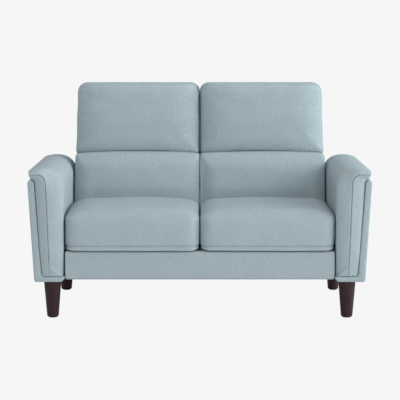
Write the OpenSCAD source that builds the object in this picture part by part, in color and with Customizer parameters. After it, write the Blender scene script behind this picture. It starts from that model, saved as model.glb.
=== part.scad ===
// High back settee for two: tall split backs, loose seat cushions and padded arms in outer shells.
// X runs to the right as seen from the front, Y to the back and Z up. The floor is Z = 0.
// Left and right are the viewer's. Lengths are millimetres and angles are degrees.

/* [Overall] */
// Width over both arm shells
overall_w = 1460; // [1420:10:1540]
// Depth from the arm fronts to the rear of the backs
overall_d = 860; // [845:5:890]
// Height of the top of the backs
overall_h = 982; // [960:2:1030]
// Height of the legs, up to the underside of the arms
leg_h = 162; // [140:2:180]

/* [Arms] */
// Width of an arm and its shell together, at the top
arm_w = 153; // [148:1:162]
// Distance of an arm's rear ahead of the rear of the backs
arm_rear_set = 70; // [60:2:80]
// Height of the crease along the outer top edge of an arm
crease_z = 636; // [620:2:660]
// Distance of the crease inside the outer face of the shell
crease_inset = 6; // [3:1:11]
// Rise of the arm's crown above the crease
crown_rise = 11; // [6:1:18]
// Distance of the crown from the arm's inner face
crown_x = 92; // [80:1:105]
// Height of the inner shoulder, over which the arm top rounds down
shoulder_h = 82; // [60:2:95]
// Depth over which an arm's front rounds into its inner side
arm_side_round = 50; // [38:1:60]
// Depth over which an arm's front rounds into its top
arm_top_round = 75; // [55:1:90]
// Depth over which an arm's front rounds towards the side slab
arm_outer_round = 30; // [20:1:38]
// Distance of an arm's front seam below the crease
seam_drop = 14; // [9:1:20]
// Radius over which that seam turns down
seam_r = 34; // [24:1:42]
// Distance of the seam from the arm's inner face, below its turn
seam_x = 75; // [68:1:84]
// Distance of the seam from the arm's inner face, at its foot
seam_foot_x = 65; // [58:1:74]
// Rounding at the top rear corner of an arm
arm_rear_r = 36; // [28:1:38]

/* [Arm shells] */
// Thickness of the side slab
slab_t = 29; // [25:1:32]
// Height of the crease above the top of the side slab
slab_drop = 41; // [36:1:50]
// Outward lean of the side slab, in degrees
slab_lean = 3.3; // [2.4:0.1:4]
// Thickness of the base strip under an arm
strip_t = 22; // [18:1:28]
// Length of the slanted cut at the inner end of the base strip
strip_cut = 12; // [6:1:18]
// Rounding of the slab's corners, seen from the side
slab_corner_r = 26; // [16:1:36]

/* [Arm frames] */
// Thickness of the plywood arm frame
arm_frame_t = 52; // [44:1:56]
// Distance of the arm frame from the arm's inner face
arm_frame_x = 21; // [18:1:26]
// Distance of the arm frame from the front and rear of the arm
arm_frame_end = 31; // [29:1:33]
// Height of the arm frame
arm_frame_h = 395; // [370:1:402]
// Width of the posts and rails of the arm frame
arm_frame_rail = 66; // [56:1:76]

/* [Legs] */
// Diameter of a leg at its top
leg_top_d = 75; // [64:1:78]
// Diameter of a leg at its foot
leg_foot_d = 50; // [42:1:56]
// Rounding at the foot of a leg
leg_foot_r = 6; // [3:0.5:8]
// Distance of a leg's centre from the arm's inner face
leg_x = 55; // [50:1:58]
// Distance of a leg's centre from the front or rear of the arm
leg_end = 42; // [38:1:52]
// Diameter of a glide under a leg
glide_d = 36; // [28:1:38]
// Thickness of a glide
glide_t = 2.5; // [2:0.5:5]
// Diameter of the pin of a glide
glide_pin_d = 5; // [4:0.5:7]
// Length of the pin of a glide
glide_pin_l = 14; // [10:1:20]
// Width of the square steel plate over a leg
leg_plate_w = 48; // [40:1:54]
// Thickness of the steel plate over a leg
leg_plate_t = 3; // [2:0.5:4]

/* [Bolts] */
// Diameter of all frame bolts
bolt_d = 8; // [6:0.5:9]
// Width of a bolt's hexagon head over its corners
bolt_head_d = 15; // [13:0.5:17]
// Thickness of a bolt head
bolt_head_t = 5.5; // [4:0.5:7]
// Diameter of a washer
washer_d = 20; // [18:1:24]
// Thickness of a washer
washer_t = 1.6; // [1:0.2:2.4]
// Depth to which a leg bolt screws into its leg
leg_bolt_down = 55; // [40:1:70]
// Reach of a leg bolt into the arm frame
leg_bolt_up = 34; // [26:1:42]
// Reach of an arm bolt into the arm frame
arm_bolt_in = 30; // [22:1:40]
// Distance of the inner back bolts from the middle of the settee
back_bolt_x = 104; // [80:2:140]
// Clearance between an outer back bolt's washer and the corner block beside it
back_bolt_room = 6; // [3:1:12]

/* [Seat] */
// Height of the underside of the seat cushions
seat_z = 291; // [280:1:305]
// Thickness of a seat cushion at its crown
cushion_t = 187; // [165:1:195]
// Distance of the cushion fronts behind the arm fronts
cushion_set = 5; // [2:1:12]
// Clearance between a seat cushion and the arm beside it
cushion_side_gap = 1.3; // [0.8:0.1:3]
// Clearance between the two seat cushions
cushion_mid_gap = 4; // [2:0.5:7]
// Clearance between the seat cushions and the lumbar pads
cushion_back_gap = 2; // [1:0.5:5]
// Rise of a cushion's crown over its side edges
cushion_dome = 20; // [12:1:26]
// Rise of a cushion's crown over its front edge
cushion_front_dome = 8; // [4:1:14]
// Distance from a cushion's front edge at which its top begins to roll down
cushion_front_roll = 52; // [36:1:70]
// Depth to which a cushion's top rolls down at its front
cushion_front_drop = 50; // [36:1:64]
// Distance from a cushion's side and rear edges at which its top begins to roll down
cushion_side_roll = 30; // [20:1:40]
// Depth to which a cushion's top rolls down at its sides and rear
cushion_side_drop = 24; // [16:1:34]
// Height of the seam above a cushion's underside
cushion_seam_z = 19; // [14:1:26]
// Depth of the channel that the seam makes
cushion_seam_t = 2.6; // [1.5:0.1:4]
// How far a cushion's sides are drawn in between its corners
cushion_pull = 2.5; // [1:0.5:5]
// Radius of a cushion's corners, seen from above
cushion_corner_r = 26; // [18:1:36]
// Thickness of the wrap round a cushion's foam core
wrap_t = 30; // [25:1:34]
// Thickness of a cushion's foam core
core_t = 92; // [80:1:98]
// Length of the zip in a cushion's rear
zip_l = 320; // [260:5:360]
// Width of the zip
zip_w = 8; // [6:0.5:12]
// Thickness of the zip
zip_t = 1.8; // [1.2:0.1:2.4]

/* [Seat frame] */
// Thickness of the seat rails
rail_t = 25; // [20:1:28]
// Height of the rails' underside above the underside of the arms
rail_lift = 12; // [8:1:16]
// Thickness of the deck pad
deck_t = 22; // [18:1:28]
// Distance of the front rail cover behind the arm fronts
apron_set = 15; // [8:1:20]
// Thickness of the padding on the front rail
apron_t = 12; // [8:1:16]
// Depth of the front rail cover's bottom edge under the rail
apron_lip = 4; // [3:0.5:6]
// Rounding along the top edge of the front rail cover
apron_top_r = 9; // [6:1:10]
// Rounding along the bottom edge of the front rail cover
apron_bottom_r = 3.5; // [2:0.5:4]
// Length of a corner block's legs
block_l = 62; // [50:1:70]
// Distance of a corner block from the rails' upper and lower edges
block_inset = 12; // [8:1:18]
// Thickness of the dust cover
dust_t = 1.2; // [0.8:0.1:1.6]

/* [Seat springs] */
// Number of zigzag springs under each seat
spring_count = 4; // [3:1:5]
// Number of straight bars in each spring
spring_bars = 18; // [14:2:22]
// Diameter of the spring wire
wire_d = 3.8; // [3:0.1:4.4]
// Width of a spring over its bends
spring_w = 52; // [46:1:60]
// Width of a spring clip
clip_w = 12; // [8:1:14]
// Thickness of a spring clip
clip_t = 1.4; // [1:0.1:1.8]
// Length of a clip's nailing foot
clip_foot = 8; // [6:0.5:9]

/* [Backs] */
// Backward lean of the backs, in degrees
back_lean = 6.5; // [5:0.1:7.5]
// Height of the underside of the backs above the underside of the arms
back_lift = 8; // [5:1:12]
// Depth of the back frame with its cover
back_frame_d = 120; // [112:1:126]
// Thickness of the back cover
cover_t = 8; // [6:0.5:10]
// Rounding of the backs' top rear edge
back_top_r = 55; // [42:1:66]
// Width of the slit between the two headrests
headrest_gap = 6; // [3:0.5:10]
// Clearance between the covers of the two backs, behind that slit
cover_gap = 0.8; // [0.6:0.1:3]
// Clearance between a headrest's outer side and the plane of the arm's inner face
headrest_side_gap = 6; // [4:0.5:10]
// Clearance between the two lumbar pads
lumbar_gap = 1.5; // [1:0.5:6]
// Clearance between a lumbar pad and the arm beside it
lumbar_side_gap = 1; // [0.6:0.1:3]
// Thickness of a lumbar pad at its crown
lumbar_t = 166; // [154:1:172]
// Thickness of a headrest pad at its crown
headrest_t = 116; // [104:1:124]
// Height of the crease between lumbar and headrest pads, at the sides
crease_back_z = 657; // [645:1:675]
// Rise of that crease at the middle of each back
crease_bow = 10; // [4:1:16]
// Rise of a pad's crown over its side edges
pad_dome = 16; // [10:1:24]
// Distance from a pad's side edges at which its front begins to roll back
pad_side_roll = 40; // [30:1:52]
// Depth to which a pad's front rolls back at its sides
pad_side_drop = 34; // [24:1:42]
// Distance from the crease at which a headrest begins to roll in
headrest_foot_roll = 90; // [70:2:105]
// Depth to which a headrest rolls in at the crease
headrest_foot_drop = 40; // [30:1:50]
// Distance from a headrest's top at which it begins to roll back
headrest_top_roll = 50; // [36:1:64]
// Depth to which a headrest rolls back at its top
headrest_top_drop = 40; // [28:1:50]
// Distance from the crease at which a lumbar pad begins to roll in
lumbar_top_roll = 90; // [60:2:110]
// Depth to which a lumbar pad rolls in at the crease
lumbar_top_drop = 56; // [36:1:64]
// Distance from the seat cushions' plane at which a lumbar pad begins to roll in
lumbar_foot_roll = 75; // [55:1:90]
// Depth to which a lumbar pad rolls in at its foot
lumbar_foot_drop = 50; // [36:1:60]
// Radius of a pad's corners, seen from the front
pad_corner_r = 44; // [34:1:50]
// Radius of the back pads' corners at the crease between them
crease_corner_r = 12; // [9:1:18]
// How far a pad's sides are drawn in between its corners
pad_pull = 2; // [1:0.5:4]
// Thickness of the boards of a back frame
back_board_t = 20; // [16:1:24]
// Height of the cross rails of a back frame
back_rail_h = 62; // [50:1:76]
// Depth of the lowest cross rail of a back frame
back_sill_d = 42; // [34:1:50]
// Number of webbing straps across each back
strap_count = 6; // [4:1:7]
// Width of a webbing strap
strap_w = 50; // [40:1:56]
// Thickness of a webbing strap
strap_t = 1.6; // [1:0.1:2.2]

/* [Hidden] */

// Clearance at rest between pieces that bear on each other
fit = 0.3;
// Clearance round a bolt in its hole
bolt_gap = 0.4;
// Overrun of cuts past the faces that they open
over = 1;
// Smallest radius of a loft's inner rings
ring_min_r = 4;
// Step to which the sizes of a spring are rounded
spring_grain = 0.01;
round_fn = 48;
small_fn = 32;

// Finishes
fabric_rgb = [0.62, 0.69, 0.72];
seam_rgb = [0.52, 0.58, 0.62];
wood_rgb = [0.17, 0.11, 0.09];
timber_rgb = [0.78, 0.64, 0.44];
ply_rgb = [0.83, 0.71, 0.52];
steel_rgb = [0.62, 0.63, 0.65];
black_rgb = [0.1, 0.1, 0.11];
foam_rgb = [0.93, 0.88, 0.7];

// Main planes
half_w = overall_w / 2;
front_y = -overall_d / 2;
inner_x = half_w - arm_w;
arm_rear_y = overall_d / 2 - arm_rear_set;
arm_d = arm_rear_y - front_y;
base_z = leg_h;
deck_z = seat_z - fit;
rail_bottom_z = base_z + rail_lift;
spring_z = deck_z - deck_t - fit - wire_d / 2;
rail_top_z = spring_z - wire_d / 2 - fit;

// Arm shell: the slab's top is a half round that its leaning faces run into
slab_r = slab_t / 2;
slab_x = half_w - slab_r;
slab_z = crease_z - slab_drop - slab_r;
function slab_out_x(z) =
  slab_x + slab_r * cos(slab_lean) - (slab_z - slab_r * sin(slab_lean) - z) * tan(slab_lean);
function slab_in_x(z) =
  slab_x - slab_r * cos(slab_lean) - (slab_z + slab_r * sin(slab_lean) - z) * tan(slab_lean);
strip_top_z = base_z + strip_t;
strip_x = inner_x + fit;

// Arm pad
pad_bottom_z = strip_top_z + fit;
crown_z = crease_z + crown_rise;
crease_x = half_w - crease_inset;
shoulder_steps = 7;
crown_steps = 3;
wall_steps = 7;
ridge_share = 0.2;
front_slope = 1.33;
front_ring_shares = [0.2, 0.42, 0.64, 0.82, 0.94, 1];
rear_ring_shares = [1, 0.62, 0.3, 0.1, 0];
shoulder_power_share = 0.87;
flare_power = 2.2;
flare_shares = [0.75, 0.5, 0.25];
flare_z = slab_z + slab_r * sin(slab_lean);

// Arm frame
arm_frame_x0 = inner_x + arm_frame_x;
arm_frame_y0 = front_y + arm_frame_end;
arm_frame_l = arm_d - 2 * arm_frame_end;
arm_frame_z0 = strip_top_z + fit;
arm_frame_corner_r = arm_frame_rail / 3;

// Legs
leg_centre_x = inner_x + leg_x;
leg_front_y = front_y + leg_end;
leg_rear_y = arm_rear_y - leg_end;
leg_bottom_z = glide_t + fit;
leg_top_z = base_z - fit;

// Backs: the rear face leans, and every plane of the back follows it
back_z = base_z + back_lift;
rise_to_round = overall_h - back_top_r - back_z;
back_foot_y = overall_d / 2 - rise_to_round * tan(back_lean) + back_top_r / cos(back_lean) - back_top_r;
function rear_y(z) = back_foot_y + (z - back_z) * tan(back_lean);
function pad_plane_y(z) = rear_y(z) - back_frame_d;
back_x0 = cover_gap / 2;
back_w = inner_x - headrest_side_gap - back_x0;
headrest_x0 = headrest_gap / 2;
headrest_w = back_x0 + back_w - headrest_x0;
lumbar_x0 = lumbar_gap / 2;
lumbar_w = inner_x - lumbar_side_gap - lumbar_x0;
lumbar_z = seat_z;
crease_gap = 2 * fit;
lumbar_h = crease_back_z - crease_gap / 2 - lumbar_z;
headrest_z = crease_back_z + crease_gap / 2;
headrest_h = overall_h - headrest_z;
sill_y = pad_plane_y(back_z);
frame_bottom_z = back_z + cover_t + fit;
frame_top_z = overall_h - cover_t - fit;
sill_top_z = frame_bottom_z + back_rail_h;

// Seat frame
rear_rail_y1 = sill_y - fit;
rear_rail_y0 = rear_rail_y1 - rail_t;
apron_y = front_y + apron_set;
front_rail_y0 = apron_y + apron_t + fit;
front_rail_y1 = front_rail_y0 + rail_t;
clip_r = wire_d / 2 + fit / 2;
clip_top_z = spring_z + clip_r + clip_t;
side_rail_x1 = inner_x - fit;
side_rail_x0 = side_rail_x1 - rail_t;
bay_x0 = rail_t / 2;
bay_w = side_rail_x0 - bay_x0;
arm_bolt_z = rail_bottom_z + (rail_top_z - rail_bottom_z) / 2;
arm_bolt_edge_share = 0.16;
arm_bolt_ys = [
  front_rail_y1 + block_l + (rear_rail_y0 - front_rail_y1) * arm_bolt_edge_share,
  rear_rail_y0 - block_l - (rear_rail_y0 - front_rail_y1) * arm_bolt_edge_share
];
back_bolt_xs = [back_bolt_x, side_rail_x0 - fit - block_l - washer_d / 2 - back_bolt_room];
back_bolt_z = rail_bottom_z + (rail_top_z - rail_bottom_z) / 2;
back_bolt_in = back_sill_d * 3 / 4;

// Lofted pillow forms
corner_steps = 5;
side_steps = 4;
ring_edge_share = 0.02;
ring_corner_share = 0.8;
wall_shares = [0.3, 0.65, 1];
roll_shares = [0.012, 0.04, 0.085, 0.15, 0.25, 0.4, 0.6, 0.8, 0.94];
side_blend = 6;
ring_pair_sum = 4 * corner_steps + 3 * side_steps - 1;

pad_edge = pad_side_drop / 8;
pad_low_rings = [[pad_edge, 0], [0, pad_edge]];
// Share of a pad's rise over its sides that it also has over its upper and lower edges
pad_rise_share = 0.7;
cushion_foot = cushion_seam_z / 3;
cushion_low_rings = [
  [cushion_foot, 0], [0, cushion_foot], [0, cushion_seam_z - cushion_seam_t],
  [cushion_seam_t, cushion_seam_z], [0, cushion_seam_z + cushion_seam_t]
];

// Seat cushions
cushion_x0 = cushion_mid_gap / 2;
cushion_w = inner_x - cushion_side_gap - cushion_x0;
cushion_y0 = front_y + cushion_set;
cushion_d = min([for (r = lumbar_rings()) for (p = r) p[1]]) - cushion_back_gap - cushion_y0;
core_w = cushion_w - 2 * wrap_t;
core_d = cushion_d - 2 * wrap_t;
zip_z = seat_z + cushion_t / 3;
zip_y = cushion_y0 + cushion_d - cushion_pull - zip_t;

// A closed skin through rings of equal count, each turning the same way about the line of rings. The end
// rings are closed by strips between the points whose numbers add up to pair_sum.
module loft(rings, pair_sum) {
  n = len(rings[0]);
  m = len(rings);
  polyhedron(
    points = [for (r = rings) for (p = r) p],
    faces = concat(
      strip_faces(n, pair_sum, 0, false),
      strip_faces(n, pair_sum, (m - 1) * n, true),
      [for (j = [0 : m - 2], i = [0 : n - 1]) [j * n + i, (j + 1) * n + (i + 1) % n, j * n + (i + 1) % n]],
      [for (j = [0 : m - 2], i = [0 : n - 1]) [j * n + i, (j + 1) * n + i, (j + 1) * n + (i + 1) % n]]
    ),
    convexity = 6
  );
}

// Triangles across a ring of n points whose numbers start at base, from one end of its long way to the other
function strip_faces(n, pair_sum, base, turned) =
  let (
    start = (pair_sum + n - 1) / 2,
    near = [for (k = [0 : n / 2 - 1]) base + (start - k + n) % n],
    far = [for (k = [0 : n / 2 - 1]) base + (pair_sum - start + k + 2 * n) % n]
  )
  [for (k = [0 : n / 2 - 2])
    each turned
      ? [[near[k], near[k + 1], far[k + 1]], [near[k], far[k + 1], far[k]]]
      : [[near[k], far[k + 1], near[k + 1]], [near[k], far[k], far[k + 1]]]];

// Points round a rectangle with rounded corners, whose sides are drawn in between them
function ring_points(w, d, rs, pull) = [
  for (k = [0 : 3])
    let (
      r = k < 2 ? rs[0] : rs[1],
      next_r = (k == 0 || k == 3) ? rs[0] : rs[1],
      sx = (k == 0 || k == 3) ? 1 : -1,
      sy = k < 2 ? 1 : -1,
      cx = sx * (w / 2 - r),
      cy = sy * (d / 2 - r),
      turn = 90 * k,
      run = ((k % 2 == 0) ? w : d) - r - next_r
    )
    each concat(
      [for (i = [0 : corner_steps - 1])
        let (a = turn + 90 * i / (corner_steps - 1)) [cx + r * cos(a), cy + r * sin(a)]],
      [for (i = [1 : side_steps])
        let (
          s = i / (side_steps + 1),
          out = r - pull * 4 * s * (1 - s),
          a = turn + 90
        )
        [cx + out * cos(a) - run * s * sin(a), cy + out * sin(a) + run * s * cos(a)]]
    )
];

// Share of the side, far and near edges in a point of a ring
function edge_shares(p, w, d) =
  let (
    side = pow(abs(2 * p[0] / w), side_blend) + ring_edge_share,
    far = p[1] > 0 ? pow(2 * p[1] / d, side_blend) : 0,
    near = p[1] < 0 ? pow(-2 * p[1] / d, side_blend) : 0,
    all = side + far + near
  )
  [side / all, far / all, near / all];

// Height of the domed top over a point, before its edges roll down
function dome_at(p, w, d, t, dome) = t - dome[0] * pow(2 * p[0] / w, 2) - dome[1] * pow(2 * p[1] / d, 2);

// Rings of a pillow that stands on Z = 0, centred on X and Y. rolls say how far inside its side, far and near
// edges its top begins to roll down, and drops how deep it rolls. dome is its rise over its sides and over its
// far and near edges, and low lists its lower rings as pairs of inset and height.
function pillow_rings(w, d, t, corners, pull, rolls, drops, dome, low) =
  let (
    reach = min(w, d) / 2,
    wall_z = low[len(low) - 1][1],
    sized = function (e) ring_points(w - 2 * e, d - 2 * e,
      [for (r = corners) max(ring_min_r, min(r, (reach - e) * ring_corner_share))], pull * (1 - e / reach)),
    roll_at = function (p) edge_shares(p, w, d) * rolls,
    drop_at = function (p) edge_shares(p, w, d) * drops,
    shoulder = function (p) dome_at(p, w, d, t, dome) - drop_at(p)
  )
  concat(
    [for (l = low) [for (p = sized(l[0])) [p[0], p[1], l[1]]]],
    [for (s = wall_shares) [for (p = sized(0)) [p[0], p[1], wall_z + (shoulder(p) - wall_z) * s]]],
    [for (s = roll_shares) let (e = s * reach) [for (p = sized(e))
      let (q = 1 - min(1, e / roll_at(p))) [p[0], p[1], shoulder(p) + drop_at(p) * sqrt(1 - q * q)]]]
  );

// A 2D outline in X and Z, drawn out along Y
module along_y(y0, length) {
  translate([0, y0 + length, 0]) rotate([90, 0, 0]) linear_extrude(length) children();
}

// A 2D outline in Y and Z, drawn out along X
module along_x(x0, length) {
  translate([x0, 0, 0]) rotate([90, 0, 90]) linear_extrude(length) children();
}

// A rectangle from the origin with its own radius at each corner, starting at the origin and turning left
module soft_rect(w, h, rs) {
  corners = [[0, 0], [w, 0], [w, h], [0, h]];
  inward = [[1, 1], [-1, 1], [-1, -1], [1, -1]];
  polygon([for (k = [0 : 3])
    each let (r = rs[k], c = corners[k], across = c + [inward[k][0] * r, 0], up = c + [0, inward[k][1] * r])
      r == 0 ? [c] : k % 2 == 0 ? [up, across] : [across, up]]);
  for (k = [0 : 3])
    if (rs[k] > 0) translate(corners[k] + inward[k] * rs[k]) circle(rs[k], $fn = round_fn);
}

// The right-hand piece as drawn, or its mirror image on the left
module on_side(side) {
  if (side > 0) children();
  else mirror([1, 0, 0]) children();
}

// Seat frame

module seat_rail_x(y0, holes) {
  color(timber_rgb) difference() {
    translate([-side_rail_x1, y0, rail_bottom_z])
      cube([2 * side_rail_x1, rail_t, rail_top_z - rail_bottom_z]);
    for (x = holes, s = [-1, 1])
      translate([s * x, y0 - over, back_bolt_z]) rotate([-90, 0, 0])
        cylinder(d = bolt_d + 2 * bolt_gap, h = rail_t + 2 * over, $fn = small_fn);
  }
}

module front_rail_board() { seat_rail_x(front_rail_y0, []); }
module rear_rail_board() { seat_rail_x(rear_rail_y0, back_bolt_xs); }

module side_rail(side) {
  color(timber_rgb) on_side(side) difference() {
    translate([side_rail_x0, front_rail_y1 + fit, rail_bottom_z])
      cube([rail_t, rear_rail_y0 - front_rail_y1 - 2 * fit, rail_top_z - rail_bottom_z]);
    for (y = arm_bolt_ys)
      translate([side_rail_x0 - over, y, arm_bolt_z]) rotate([0, 90, 0])
        cylinder(d = bolt_d + 2 * bolt_gap, h = rail_t + 2 * over, $fn = small_fn);
  }
}

module centre_rail() {
  color(timber_rgb)
    translate([-rail_t / 2, front_rail_y1 + fit, rail_bottom_z])
      cube([rail_t, rear_rail_y0 - front_rail_y1 - 2 * fit, rail_top_z - rail_bottom_z]);
}

module corner_block(side, y, toward) {
  x = side_rail_x0 - fit;
  on_side(side) translate([0, 0, rail_bottom_z + block_inset])
    linear_extrude(rail_top_z - rail_bottom_z - 2 * block_inset)
      polygon([[x, y], [x - block_l, y], [x, y + toward * block_l]]);
}

module corner_blocks() {
  color(timber_rgb) for (s = [-1, 1]) {
    corner_block(s, front_rail_y1 + fit, 1);
    corner_block(s, rear_rail_y0 - fit, -1);
  }
}

module front_rail_cover() {
  cover_d = apron_t + rail_t + 2 * fit;
  cover_h = deck_z - rail_bottom_z + apron_lip + fit;
  pocket_h = clip_top_z - rail_bottom_z + 2 * fit;
  color(fabric_rgb) along_x(-inner_x + fit, 2 * (inner_x - fit))
    translate([apron_y, rail_bottom_z - fit - apron_lip]) difference() {
      soft_rect(cover_d, cover_h, [apron_bottom_r, 0, 0, apron_top_r]);
      translate([apron_t, apron_lip]) square([cover_d, pocket_h]);
    }
}

// One zigzag spring: straight bars across, joined by half rings at alternate ends. It starts at the origin,
// and its sizes are whole grains, so that its bars and bends meet exactly.
module zigzag_spring(bend_r, half_bar) {
  union() {
    for (i = [0 : spring_bars - 1])
      translate([-half_bar, 2 * i * bend_r, 0]) rotate([0, 90, 0])
        cylinder(d = wire_d, h = 2 * half_bar, $fn = small_fn);
    for (i = [0 : spring_bars - 2]) {
      side = i % 2 == 0 ? 1 : -1;
      translate([side * half_bar, (2 * i + 1) * bend_r, 0]) rotate([0, 0, -side * 90])
        rotate_extrude(angle = 180, $fn = round_fn) translate([bend_r, 0]) circle(d = wire_d, $fn = small_fn);
    }
  }
}

function in_grains(v) = round(v / spring_grain) * spring_grain;
spring_bend_r = in_grains((rear_rail_y0 - front_rail_y0) / (spring_bars - 1) / 2);
spring_half_bar = in_grains((spring_w - wire_d) / 2 - spring_bend_r);
spring_y0 = front_rail_y0 + rail_t / 2;
spring_y1 = spring_y0 + 2 * spring_bend_r * (spring_bars - 1);
function spring_x(i) = bay_x0 + bay_w * (i + 1 / 2) / spring_count;

module seat_springs(side) {
  color(steel_rgb) on_side(side)
    for (i = [0 : spring_count - 1])
      translate([spring_x(i), spring_y0, spring_z]) zigzag_spring(spring_bend_r, spring_half_bar);
}

// A bent steel clip that arches over the end bar of a spring, with its foot on the rail
module spring_clip(x, y, toward) {
  arch = clip_r + clip_t;
  up = spring_z - rail_top_z;
  foot_x = toward > 0 ? 0 : -arch - clip_foot;
  along_x(x - clip_w / 2, clip_w) translate([y, rail_top_z + fit / 2]) difference() {
    union() {
      translate([0, up - fit / 2]) circle(arch, $fn = small_fn);
      translate([-arch, 0]) square([2 * arch, up - fit / 2]);
      translate([foot_x, 0]) square([arch + clip_foot, clip_t]);
    }
    translate([0, up - fit / 2]) circle(clip_r, $fn = small_fn);
    translate([-clip_r, -over]) square([2 * clip_r, up - fit / 2 + over]);
    translate([-arch - clip_foot, -arch]) square([2 * (arch + clip_foot), arch]);
  }
}

module spring_clips() {
  color(steel_rgb) for (s = [-1, 1], i = [0 : spring_count - 1]) {
    spring_clip(s * spring_x(i), spring_y0, -1);
    spring_clip(s * spring_x(i), spring_y1, 1);
  }
}

module seat_deck() {
  color(black_rgb)
    translate([-inner_x + fit, front_rail_y1 + 2 * fit, deck_z - deck_t])
      cube([2 * (inner_x - fit), rear_rail_y0 - front_rail_y1 - 2 * fit, deck_t]);
}

module dust_cover() {
  color(black_rgb)
    translate([-side_rail_x1, front_rail_y1 + 2 * fit, rail_bottom_z - fit - dust_t])
      cube([2 * side_rail_x1, rear_rail_y1 - front_rail_y1 - 2 * fit, dust_t]);
}

// Arms

module shell_outline() {
  polygon([
    [slab_out_x(slab_z - slab_r * sin(slab_lean)), slab_z - slab_r * sin(slab_lean)],
    [slab_in_x(slab_z + slab_r * sin(slab_lean)), slab_z + slab_r * sin(slab_lean)],
    [slab_in_x(strip_top_z), strip_top_z],
    [strip_x, strip_top_z],
    [strip_x + strip_cut, base_z],
    [slab_out_x(base_z), base_z]
  ]);
  translate([slab_x, slab_z]) circle(slab_r, $fn = round_fn);
}

// The L-shaped shell: side slab and base strip in one padded panel
module arm_shell(side) {
  plate_w = leg_plate_w + 2 * fit;
  color(fabric_rgb) on_side(side) difference() {
    intersection() {
      along_y(front_y, arm_d) shell_outline();
      along_x(inner_x, arm_w + over) translate([front_y, base_z])
        soft_rect(arm_d, slab_z + slab_r - base_z, [0, 0, slab_corner_r, slab_corner_r]);
    }
    for (y = [leg_front_y, leg_rear_y]) translate([leg_centre_x, y, base_z]) {
      translate([-plate_w / 2, -plate_w / 2, -over]) cube([plate_w, plate_w, leg_plate_t + 2 * fit + over]);
      cylinder(d = bolt_d + 2 * bolt_gap, h = strip_t + over, $fn = small_fn);
    }
  }
}

// Section of the right arm pad, as X, Z and the depth over which the arm's front rounds into that point. The
// first chain goes from the crease over the top to the inner foot, and the second from the flare under the
// crease to the outer foot. Both have the same number of points.
arm_inner_chain =
  let (crown_at = inner_x + crown_x, low_z = crown_z - shoulder_h)
  concat(
    [for (i = [crown_steps : -1 : 1])
      let (s = i / crown_steps) [crown_at + (crease_x - crown_at) * s, crown_z - crown_rise * s * s, arm_top_round]],
    [for (i = [shoulder_steps - 1 : -1 : 0])
      let (a = 90 * i / (shoulder_steps - 1))
      [
        crown_at - crown_x * pow(cos(a), shoulder_power_share),
        low_z + shoulder_h * pow(sin(a), shoulder_power_share),
        arm_side_round + (arm_top_round - arm_side_round) * sin(a)
      ]],
    [[inner_x, pad_bottom_z, arm_side_round]]
  );

arm_outer_chain =
  let (flare_x = slab_in_x(flare_z) - fit)
  concat(
    [for (s = flare_shares)
      [flare_x + (crease_x - flare_x) * pow(s, flare_power), flare_z + (crease_z - flare_z) * s, arm_outer_round]],
    [for (i = [0 : wall_steps])
      let (z = flare_z + (pad_bottom_z - flare_z) * i / wall_steps) [slab_in_x(z) - fit, z, arm_outer_round]]
  );

// A point of the arm's front seam, at a share of the way from the crease to the foot
function seam_point(share) =
  let (
    run_z = crease_z - seam_drop,
    turn = [inner_x + seam_x + seam_r, run_z - seam_r],
    run = crease_x - turn[0],
    bend = seam_r * PI / 2,
    fall = turn[1] - pad_bottom_z,
    at = share * (run + bend + fall),
    a = 90 * (at - run) / bend,
    down = (at - run - bend) / fall
  )
  at < run ? [crease_x - at, run_z]
    : at < run + bend ? turn + seam_r * [-sin(a), cos(a)]
    : [inner_x + seam_x + (seam_foot_x - seam_x) * down, turn[1] - fall * down];

// For each point of a chain, the point of the front seam that it rounds towards
function seam_targets(chain) =
  let (
    step = function (i) norm([chain[i + 1][0] - chain[i][0], chain[i + 1][1] - chain[i][1]]),
    ways = [for (i = 0, way = 0; i < len(chain); way = way + (i < len(chain) - 1 ? step(i) : 0), i = i + 1) way]
  )
  [for (way = ways) seam_point(way / ways[len(ways) - 1])];

// The section as one ring, from its inner foot round to its outer foot, with the seam points beside it
arm_section = concat([for (i = [len(arm_inner_chain) - 1 : -1 : 0]) arm_inner_chain[i]], arm_outer_chain);
arm_targets =
  let (inner = seam_targets(arm_inner_chain), outer = seam_targets(arm_outer_chain))
  concat([for (i = [len(inner) - 1 : -1 : 0]) inner[i]], outer);

// A ring of the arm's front, at a share of the way from the seam out to the section
function arm_front_ring(share) =
  [for (i = [0 : len(arm_section) - 1])
    let (
      p = arm_section[i],
      t = arm_targets[i],
      across = norm([p[0] - t[0], p[1] - t[1]]),
      depth = min(p[2], across * front_slope),
      deep_share = ridge_share * share + (1 - ridge_share) * (1 - sqrt(1 - share * share))
    )
    [t[0] + (p[0] - t[0]) * share, front_y + depth * deep_share, t[1] + (p[1] - t[1]) * share]];

// A full ring of the arm, with its top dropped towards the rear
function arm_ring(y, drop) =
  [for (p = arm_section)
    [p[0], y, p[1] - drop * max(0, (p[1] - flare_z) / (crown_z - flare_z))]];

// Inset of a quarter round of radius r at distance s from its end
function round_inset(r, s) = r - sqrt(r * r - (r - s) * (r - s));

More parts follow.
